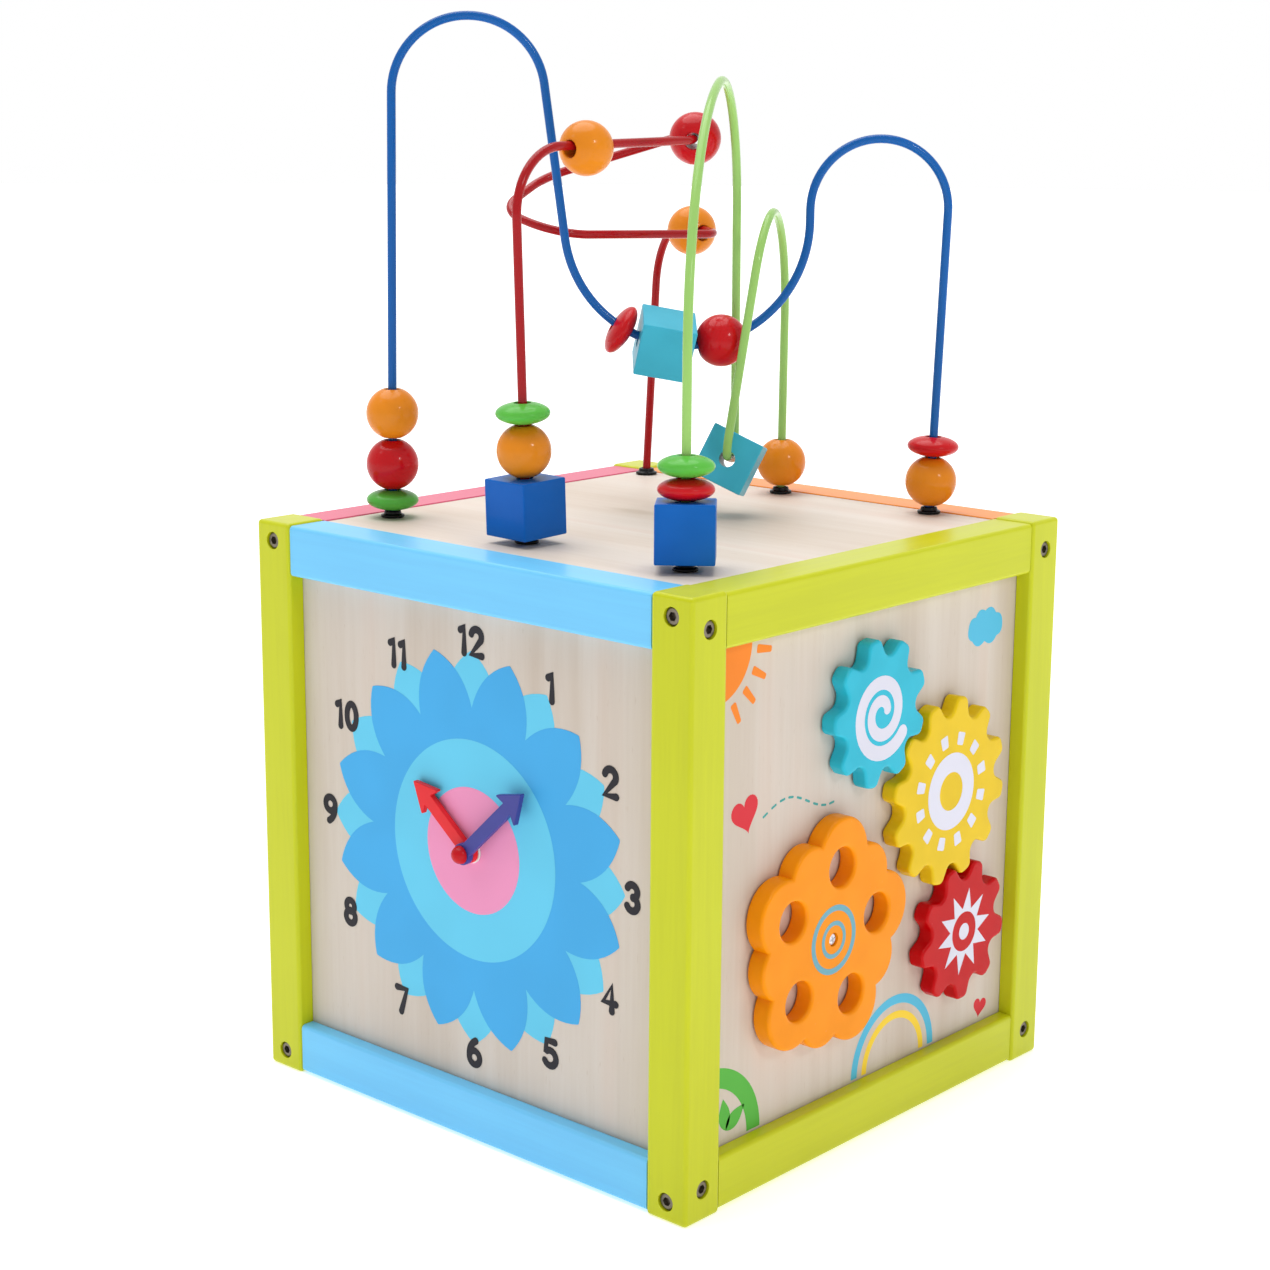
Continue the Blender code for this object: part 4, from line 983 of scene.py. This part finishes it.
def round_bead(half_length, steps=36):
    """A ball, or a disc where it is flatter, with its bore's ends rounded."""
    wide = BEAD_DIAMETER / 2 - BEAD_PLAY
    start = math.asin(BEAD_BORE / 2 / wide)
    profile = []
    for i in range(steps + 1):
        angle = start + (math.pi - 2 * start) * i / steps
        profile.append((wide * math.sin(angle), half_length * math.cos(angle),
                        BORE_ROUND if i in (0, steps) else 0))
    return turned(profile, 56, ring=True)


def make_beads():
    bodies = frame["record"]["behaviour"]["bodies"]
    for node in sorted(name for name in NODES if name.startswith("bead_")):
        _, kind, colour, _ = node.split("_")
        body = next(body for body, members in bodies.items() if node in members)
        if kind == "cube":
            bead = cube_bead()
        else:
            bead = round_bead(DISC_LENGTH / 2 if kind == "disc" else BEAD_DIAMETER / 2 - BEAD_PLAY)
        show(node + "_wood", bead, body, colour + "_bead_lacquer", [node], bore_line(node))


# The clock

def hand_outline(length):
    hub, half = HUB_DIAMETER / 2, HAND_WIDTH / 2
    meet = math.asin(half / hub)
    neck = length - HEAD_LENGTH
    head = [(neck, -half), (neck - HEAD_BARB, -HEAD_WIDTH / 2, HEAD_ROUND),
            (length, 0, HEAD_ROUND), (neck - HEAD_BARB, HEAD_WIDTH / 2, HEAD_ROUND), (neck, half)]
    return arc((0, 0), hub, meet, FULL_TURN - meet, 36) + rounded(head, closed=False)


def over_dial(node):
    """The least and the greatest height of a solid over the clock side's panel."""
    low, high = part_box(node)
    return -high.y - PANEL_FACE, -low.y - PANEL_FACE


def make_hands():
    for node, length, angle, finish in (
            ("hour_hand", HOUR_LENGTH, HOUR_ANGLE, "red_hand_plastic"),
            ("minute_hand", MINUTE_LENGTH, MINUTE_ANGLE, "violet_hand_plastic")):
        hand = plate([hand_outline(length), circle(HAND_BORE / 2, 32)], HAND_THICKNESS, HAND_EDGE,
                     2)
        place = on_face(FRONT, 0, CLOCK_HEIGHT, over_dial(node)[0], angle)
        show(node + "_moulding", hand, node, finish, [node], place)
    place = on_face(FRONT, 0, CLOCK_HEIGHT)
    low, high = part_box("clock_spacer")
    bore, radius = HAND_BORE / 2, (high.x - low.x) / 2
    back, front = over_dial("clock_spacer")
    ring = [(bore, back), (radius, back, SPACER_ROUND), (radius, front, SPACER_ROUND),
            (bore, front)]
    show("clock_spacer_ring", turned(ring, 48, ring=True), "cube", "white_plastic",
         ["clock_spacer"], place)
    tail, front = over_dial("clock_pin")
    back = front - CAP_HEIGHT
    cap, shaft = CAP_DIAMETER / 2, PIN_DIAMETER / 2
    dome = [(x, back + y * CAP_HEIGHT / cap) for x, y in arc((0, 0), cap, DOME_START, QUARTER, 16)]
    profile = [(0, tail), (shaft, tail), (shaft, back), (cap - CAP_CHAMFER[0], back),
               (cap, back + CAP_CHAMFER[1]), *dome[:-1], (0, front)]
    show("clock_pin_cap", turned(profile, 48), "cube", "red_cap_plastic", ["clock_pin"], place)


def bowed_line(start, end, out, steps):
    """Points from the start up to the end, on a line that bows out by a vector at its middle."""
    shares = [i / steps for i in range(steps)]
    return [Vector(start).lerp(end, share) + out * 4 * share * (1 - share) for share in shares]


def rosette(tip, valley, bulge, phase, steps=10):
    """Petals with slightly rounded tips, each side bowed out by the bulge."""
    points = []
    half = math.pi / PETAL_COUNT
    for i in range(PETAL_COUNT):
        heading = phase + 2 * half * i
        sideways = Vector(polar(heading + QUARTER, 1))
        peak = Vector(polar(heading, tip))
        first, last = (Vector(polar(heading + way * half, valley)) for way in (-1, 1))
        for start, end, way in ((first, peak, -1), (peak, last, 1)):
            out = (end - start).orthogonal().normalized()
            out *= way * math.copysign(bulge, out.dot(sideways))
            points += [(*spot, 0) for spot in bowed_line(start, end, out, steps)]
        points[-steps] = (*peak, PETAL_ROUND)
    return rounded(points)


def print_layer(name, shapes, finish, side, across, height, level=0, body="cube", proud=0.0,
                turn=0.0):
    """A thin printed layer on a face. Each shape is an outline with its holes after it, and a
    higher level lies over a lower one."""
    lift_off = proud + LAYER_GAP + level * (LAYER + LAYER_GAP)
    show(name, gather([(plate(shape, LAYER), Matrix()) for shape in shapes]), body, finish, (),
         on_face(side, across, height, lift_off, turn))


def bow(centre, radius, start, end, steps=14):
    return arc(centre, radius, math.radians(start), math.radians(end), steps)


# The middle lines of the digits' strokes in a box of height 1, and whether each line closes
DIGITS = {
    "0": [([(0.215 * x, 0.39 * y) for x, y in circle(1, 28)], True)],
    "1": [([(-0.13, 0.29), (0.02, 0.39), (0.02, -0.39)], False)],
    "2": [(bow((0, 0.175), 0.215, 165, -30) + [(-0.22, -0.39), (0.23, -0.39)], False)],
    "3": [(bow((-0.01, 0.195), 0.195, 155, -80), False),
          (bow((-0.01, -0.18), 0.21, 80, -155), False)],
    "4": [([(0.10, -0.39), (0.10, 0.39), (-0.24, -0.14), (0.25, -0.14)], False)],
    "5": [([(0.20, 0.39), (-0.14, 0.39), (-0.18, 0.06)] + bow((0, -0.145), 0.245, 125, -150),
           False)],
    "6": [(circle(0.225, 28, (0, -0.165)), True), (bow((0.335, -0.10), 0.56, 185, 118, 10), False)],
    "7": [([(-0.22, 0.39), (0.22, 0.39), (-0.04, -0.39)], False)],
    "8": [(circle(0.185, 26, (0, 0.19)), True), (circle(0.215, 28, (0, -0.175)), True)],
}
DIGITS["9"] = [([(-x, -y) for x, y in line], closed) for line, closed in DIGITS["6"]]


def numeral(text):
    """A bold round-ended numeral, centred on its own place and flattened to a printed layer."""
    half = NUMERAL_STROKE / 2
    right = 0.0
    lines = []
    for digit in text:
        across = [x for line, _ in DIGITS[digit] for x, _ in line]
        shift = right - min(across) + half
        right += max(across) - min(across) + NUMERAL_STROKE + NUMERAL_SPACE
        lines += [(shift_points(line, shift, 0), closed) for line, closed in DIGITS[digit]]
    bm = rods(lines, NUMERAL_STROKE, 2, False)
    for line, closed in lines:
        for x, y in () if closed else (line[0], line[-1]):
            bmesh.ops.create_uvsphere(bm, u_segments=20, v_segments=10, radius=half,
                                      matrix=moved(x, y, 0))
    flat = Matrix.Diagonal((NUMERAL_HEIGHT, NUMERAL_HEIGHT, LAYER / NUMERAL_STROKE, 1))
    bm.transform(flat @ moved((NUMERAL_SPACE - right) / 2, 0, 0))
    return bm


def make_dial():
    step = FULL_TURN / PETAL_COUNT
    for level, (name, outline, finish) in enumerate((
            ("dial_petals_light", rosette(PETAL_TIP, *LIGHT_PETALS, 0), "pale_blue_ink"),
            ("dial_petals_dark", rosette(PETAL_TIP, *DARK_PETALS, step / 2), "petal_blue_ink"),
            ("dial_ring", circle(DIAL_RING, 96), "pale_blue_ink"),
            ("dial_middle", circle(DIAL_MIDDLE, 72), "pink_ink"))):
        print_layer(name, [[outline, circle(DIAL_HOLE, 24)]], finish, FRONT, 0, CLOCK_HEIGHT, level)
    numerals = []
    for hour in range(1, 13):
        place = moved(*polar(QUARTER - hour * step, NUMERAL_RADIUS), 0)
        numerals.append((numeral(str(hour)), place))
    lift_off = LAYER_GAP + NUMERAL_LEVEL * (LAYER + LAYER_GAP)
    show("dial_numerals", gather(numerals), "cube", "black_ink", (),
         on_face(FRONT, 0, CLOCK_HEIGHT, lift_off))


# Gears and the flower wheel

def pitch_radius(teeth):
    return GEAR_MODULE * teeth / 2


def gear_outline(teeth, tooth_foot, phase):
    """One tooth for each pitch, its flank the line that touches its shoulder and the valley."""
    half_pitch = math.pi / teeth
    shoulder = Vector((pitch_radius(teeth) + TOOTH_HEAD - TOOTH_ROUND, TOOTH_FLAT))
    root = pitch_radius(teeth) - tooth_foot
    valley = Vector(polar(half_pitch, root + VALLEY_ROUND))
    between = valley - shoulder
    lean = math.acos((TOOTH_ROUND + VALLEY_ROUND) / between.length)
    flank = math.atan2(between.y, between.x) - lean
    half = arc(shoulder, TOOTH_ROUND, 0, flank, 8)
    half += arc(valley, VALLEY_ROUND, flank + math.pi, half_pitch + math.pi, 8)
    return around([(x, -y) for x, y in reversed(half)] + half[:-1], teeth, phase)


def gear_places():
    """Name, teeth, foot, place and turn of the three gears in mesh."""
    distance = pitch_radius(YELLOW_TEETH) + pitch_radius(SMALL_TEETH)
    gears = [("yellow", YELLOW_TEETH, YELLOW_FOOT, YELLOW_PLACE, TEAL_HEADING)]
    for name, heading in (("teal", TEAL_HEADING), ("red", RED_HEADING)):
        place = shift_points([polar(heading, distance)], *YELLOW_PLACE)[0]
        valley = heading + math.pi - (TEAL_HEADING - heading) * YELLOW_TEETH / SMALL_TEETH
        gears.append((name, SMALL_TEETH, SMALL_FOOT, place, valley + math.pi / SMALL_TEETH))
    return gears


def spiral_outline(start, turns, outer, inner, wide, narrow, steps=72):
    """A band that winds clockwise inwards and grows narrower, with round ends."""
    edges = ([], [])
    for i in range(steps + 1):
        share = i / steps
        angle = start - FULL_TURN * turns * share
        radius = outer + (inner - outer) * share
        half = (wide + (narrow - wide) * share) / 2
        edges[0].append(polar(angle, radius + half))
        edges[1].append(polar(angle, radius - half))
    end = start - FULL_TURN * turns
    near = arc(polar(end, inner), narrow / 2, end, end - math.pi, 10)[1:-1]
    far = arc(polar(start, outer), wide / 2, start + math.pi, start, 10)[1:-1]
    return edges[0] + near + edges[1][::-1] + far


def star(points, tip, base, phase):
    return [polar(phase + math.pi * i / points, base if i % 2 else tip) for i in range(2 * points)]


def gear_print(name):
    if name == "teal":
        return [[spiral_outline(math.radians(-36), turns=1.84, outer=0.0217, inner=0.0046,
                                wide=0.0078, narrow=0.0058)]]
    if name == "yellow":
        dash = bar(0.0244, 0.0312, 0.0052, 0.0064, 0.0009)
        dashes = [[turn_points(dash, FULL_TURN * (i + 0.5) / 12)] for i in range(12)]
        return [[circle(0.0204, 72), circle(0.0102, 48)]] + dashes
    rays = star(points=10, tip=0.0235, base=0.0128, phase=math.radians(9))
    return [[rays, circle(0.0108, 48)], [circle(0.0045, 32)]]


def make_gears():
    for name, teeth, foot, place, phase in gear_places():
        disc = plate([gear_outline(teeth, foot, phase)], GEAR_THICKNESS, GEAR_EDGE, 4)
        node = "gear_" + name
        show(node + "_wood", carved(disc, drill(AXLE_BORE / 2, -MM, AXLE_BORE_DEPTH, 32)), node,
             name + "_gear_lacquer", [node], on_face(RIGHT, *place, RUNNING_GAP))
        dress("axle_" + name, "white_plastic")
        print_layer(node + "_print", gear_print(name), "white_ink", RIGHT, *place, 0, node,
                    RUNNING_GAP + GEAR_THICKNESS)


def flower_outline():
    """Large and small round petals in turn, each drawn to where it meets the next."""
    pitch = math.pi / PETALS
    large, small = LARGE_PETAL[1], SMALL_PETAL[1]
    large_middle, small_middle = Vector((LARGE_PETAL[0], 0)), Vector(polar(pitch, SMALL_PETAL[0]))
    between = small_middle - large_middle
    share = (between.length ** 2 + large ** 2 - small ** 2) / (2 * between.length)
    across = math.sqrt(large ** 2 - share ** 2)
    unit = between.normalized()
    square = Vector((-unit.y, unit.x)) * across
    crossings = [large_middle + unit * share + square * way for way in (-1, 1)]
    meet = max(crossings, key=lambda point: point.length)
    large_end = math.atan2(meet.y, meet.x - LARGE_PETAL[0])
    small_start = math.atan2(meet.y - small_middle.y, meet.x - small_middle.x)
    one = arc(large_middle, large, -large_end, large_end, 28)[:-1]
    one += arc(small_middle, small, small_start, 2 * pitch - small_start, 14)[:-1]
    return around(one, PETALS, PETAL_HEADING)


def make_flower_wheel():
    holes = [circle(FINGER_HOLE / 2, 48, spot)
             for spot in around([(FINGER_HOLE_DISTANCE, 0)], PETALS, PETAL_HEADING)]
    wheel = plate([flower_outline()] + holes, FLOWER_THICKNESS, FLOWER_EDGE, 4)
    radius, shank = WHEEL_SCREW_HEAD / 2, WHEEL_SCREW_SHANK / 2
    wide, narrow = radius + WHEEL_SCREW_PLAY, shank + WHEEL_SCREW_PLAY
    seat, past = FLOWER_THICKNESS - WHEEL_SCREW_RECESS, FLOWER_THICKNESS + MM
    bore = turned([(0, -MM), (narrow, -MM), (narrow, seat), (wide, seat), (wide, past), (0, past)],
                  32)
    show("flower_wheel_wood", carved(wheel, bore), "flower_wheel", "orange_wheel_lacquer",
         ["flower_wheel"], on_face(RIGHT, *FLOWER_PLACE, RUNNING_GAP))
    rings = [[circle(outer, 72), circle(inner, 72)] for outer, inner in FLOWER_RINGS]
    print_layer("flower_wheel_print", rings, "ring_blue_ink", RIGHT, *FLOWER_PLACE, 0,
                "flower_wheel", RUNNING_GAP + FLOWER_THICKNESS)
    low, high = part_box("wheel_screw")
    tail, under = low.x - PANEL_FACE, high.x - PANEL_FACE - WHEEL_SCREW_HEAD_HEIGHT
    top = RUNNING_GAP + FLOWER_THICKNESS - WHEEL_SCREW_DROP
    screw = turned([(0, tail), (shank, tail, 0.0004), (shank, under), (radius, under, 0.0003),
                    (radius, top, 0.0012), (0, top)], 40)
    for turn in (CROSS_TURN, CROSS_TURN + QUARTER):
        slot = brick((-CROSS_LENGTH / 2, -CROSS_WIDTH / 2, top - CROSS_DEPTH),
                     (CROSS_LENGTH / 2, CROSS_WIDTH / 2, top + MM))
        slot.transform(spun(turn, "Z"))
        screw = carved(screw, slot)
    show("wheel_screw_head", screw, "cube", "bright_screw_steel", ["wheel_screw"],
         on_face(RIGHT, *FLOWER_PLACE))


# The printed gear side and the slider side

def bowed(stops, bulge):
    """A closed outline whose sides bow outwards between stops that run anticlockwise."""
    points = []
    for start, end in zip(stops, stops[1:] + stops[:1]):
        side = Vector(end) - Vector(start)
        out = Vector((side.y, -side.x)) * bulge
        points += bowed_line(start, end, out, 8)
    return points


def half_ring(outer, inner, end, steps=40):
    return arc((0, 0), outer, 0, end, steps) + arc((0, 0), inner, end, 0, steps)


def leaf_outline(length, width, steps=14):
    side = [(length * i / steps, width * math.sin(math.pi * (i / steps) ** 0.8))
            for i in range(steps + 1)]
    return side + [(x, -y) for x, y in reversed(side[1:-1])]


def heart_outline(size, steps=40):
    points = []
    for i in range(steps):
        angle = FULL_TURN * i / steps
        x = 16 * math.sin(angle) ** 3
        y = (13 * math.cos(angle) - 5 * math.cos(2 * angle) - 2 * math.cos(3 * angle)
             - math.cos(4 * angle))
        points.append((x * size / 32, y * size / 32))
    return points


def trail():
    dash = bar(-0.0021, 0.0021, 0.0012, 0.0012, 0.0005)
    dashes = []
    for i in range(TRAIL_DASHES):
        along = TRAIL_PITCH * i
        slope = math.atan(TRAIL_RISE * math.cos(along / TRAIL_WAVE) / TRAIL_WAVE)
        rise = TRAIL_RISE * math.sin(along / TRAIL_WAVE)
        dashes.append([shift_points(turn_points(dash, slope), along, rise)])
    return dashes


def make_gear_side_print():
    """Plain ornaments: a sun, a cloud, hearts, a dashed trail, a rainbow, a hill and leaves."""
    edge, bottom, top = MM - WINDOW_HALF, WINDOW_BOTTOM + MM, WINDOW_TOP - MM
    sun = arc((0, 0), SUN_RADIUS, -QUARTER, 0, 24) + [(0, 0)]
    ray = bar(0.032, 0.043, 0.0044, 0.0030, 0.001)
    rays = [[turn_points(ray, -QUARTER * share)] for share in (0.1, 0.3, 0.5, 0.7, 0.9)]
    print_layer("print_sun", [[sun]] + rays, "orange_ink", RIGHT, edge, top)
    cloud = bowed([(x * CLOUD_SCALE, y * CLOUD_SCALE) for x, y in CLOUD_STOPS], 0.24)
    print_layer("print_cloud", [[cloud]], "sky_ink", RIGHT, *CLOUD_PLACE)
    for index, (across, height, size, turn) in enumerate(HEARTS):
        print_layer(f"print_heart_{index + 1}", [[heart_outline(size)]], "red_ink", RIGHT, across,
                    height, turn=turn)
    print_layer("print_trail", trail(), "teal_ink", RIGHT, *TRAIL_PLACE)
    for index, (outer, inner, finish) in enumerate(RAINBOW_BANDS):
        print_layer(f"print_rainbow_{index + 1}", [[half_ring(outer, inner, math.pi)]], finish,
                    RIGHT, RAINBOW_PLACE, bottom)
    print_layer("print_hill", [[half_ring(*HILL_RADII, QUARTER, 24)]], "leaf_green_ink", RIGHT,
                edge, bottom)
    leaves = [[turn_points(leaf_outline(*LEAF_SIZE), turn)] for turn in LEAF_TURNS]
    print_layer("print_leaves", leaves, "leaf_green_ink", RIGHT, *LEAF_PLACE)


def make_slider_side():
    for index, finish in enumerate(("sky_ink", "yellow_ink")):
        print_layer(f"slider_track_{index + 1}", [[slot_outline(radius) for radius in TRACK_RADII]],
                    finish, LEFT, 0, SLOT_HEIGHTS[index])
    stem, keeper, radius = STEM_DIAMETER / 2, KEEPER_DIAMETER / 2, KNOB_DIAMETER / 2
    inside = -PANEL_THICKNESS - RUNNING_GAP
    tail, front = inside - KEEPER_THICKNESS, RUNNING_GAP + KNOB_HEIGHT
    profile = [
        (0, tail), (keeper, tail, KEEPER_ROUND), (keeper, inside, KEEPER_ROUND), (stem, inside),
        (stem, RUNNING_GAP), (radius, RUNNING_GAP, KNOB_ROUNDS[0]), (radius, front, KNOB_ROUNDS[1]),
        (0, front)]
    for index, finish in enumerate(("green_bead_lacquer", "red_bead_lacquer")):
        node = "slider_knob_" + "ab"[index]
        show(node + "_wood", turned(profile, 64), node, finish, [node],
             on_face(LEFT, KNOB_PLACES[index], SLOT_HEIGHTS[index]))


# The studio

def lamp(name, kind, power, direction, place=(0, 0, 0)):
    """A lamp that shines from a direction."""
    light = bpy.data.lights.new(name, kind)
    light.energy = power
    item = in_scene(name, light)
    item.location = place
    item.rotation_mode = "QUATERNION"
    item.rotation_quaternion = Vector(direction).to_track_quat("Z", "Y")
    return light


def make_studio():
    floor = bmesh.new()
    bmesh.ops.create_circle(floor, cap_ends=True, segments=96, radius=FLOOR_RADIUS)
    bmesh.ops.inset_region(floor, faces=floor.faces[:], thickness=FLOOR_RADIUS - FLOOR_MIDDLE)
    sheet = as_object("floor_paper", floor)
    sheet.data.materials.append(paper_floor("pale_paper"))
    for name, place, power in LAMPS:
        light = lamp(name, "AREA", power, Vector(place) - Vector(LAMP_TARGET), place)
        light.shape = "SQUARE"
        light.size = LAMP_SIZE
    lamp("soft_sun", "SUN", SUN_POWER, SUN_FROM).angle = SUN_SPREAD
    world = bpy.data.worlds.new("studio")
    world.use_nodes = True
    room = NodeTree(world.node_tree)
    seen, mirrored = (room.node("ShaderNodeLightPath", {}, {}, f"Is {ray} Ray")
                      for ray in ("Camera", "Glossy"))
    white = room.node("ShaderNodeMath", {"operation": "MAXIMUM"}, {0: seen, 1: mirrored})
    background = room.tree.nodes["Background"].inputs
    room.feed(background["Strength"], ROOM_LIGHT + white * (1 - ROOM_LIGHT))
    room.feed(background["Color"], (1, 1, 1, 1))
    bpy.context.scene.world = world
    bpy.context.scene.view_settings.view_transform = "Standard"


def make_camera():
    lens = bpy.data.cameras.new("camera")
    lens.sensor_fit = "HORIZONTAL"
    lens.sensor_width = 36
    lens.lens = CAMERA_LENS
    camera = in_scene("camera", lens)
    camera.matrix_world = (moved(*CAMERA_PLACE) @ spun(-CAMERA_HEADING, "Z")
                           @ spun(QUARTER - CAMERA_DIP, "X") @ spun(CAMERA_ROLL, "Z"))
    bpy.context.scene.camera = camera


make_posts()
make_rails()
make_frame_screws()
make_panels()
make_wires()
make_collars()
make_beads()
make_dial()
make_hands()
make_gears()
make_flower_wheel()
make_gear_side_print()
make_slider_side()
make_studio()
make_camera()
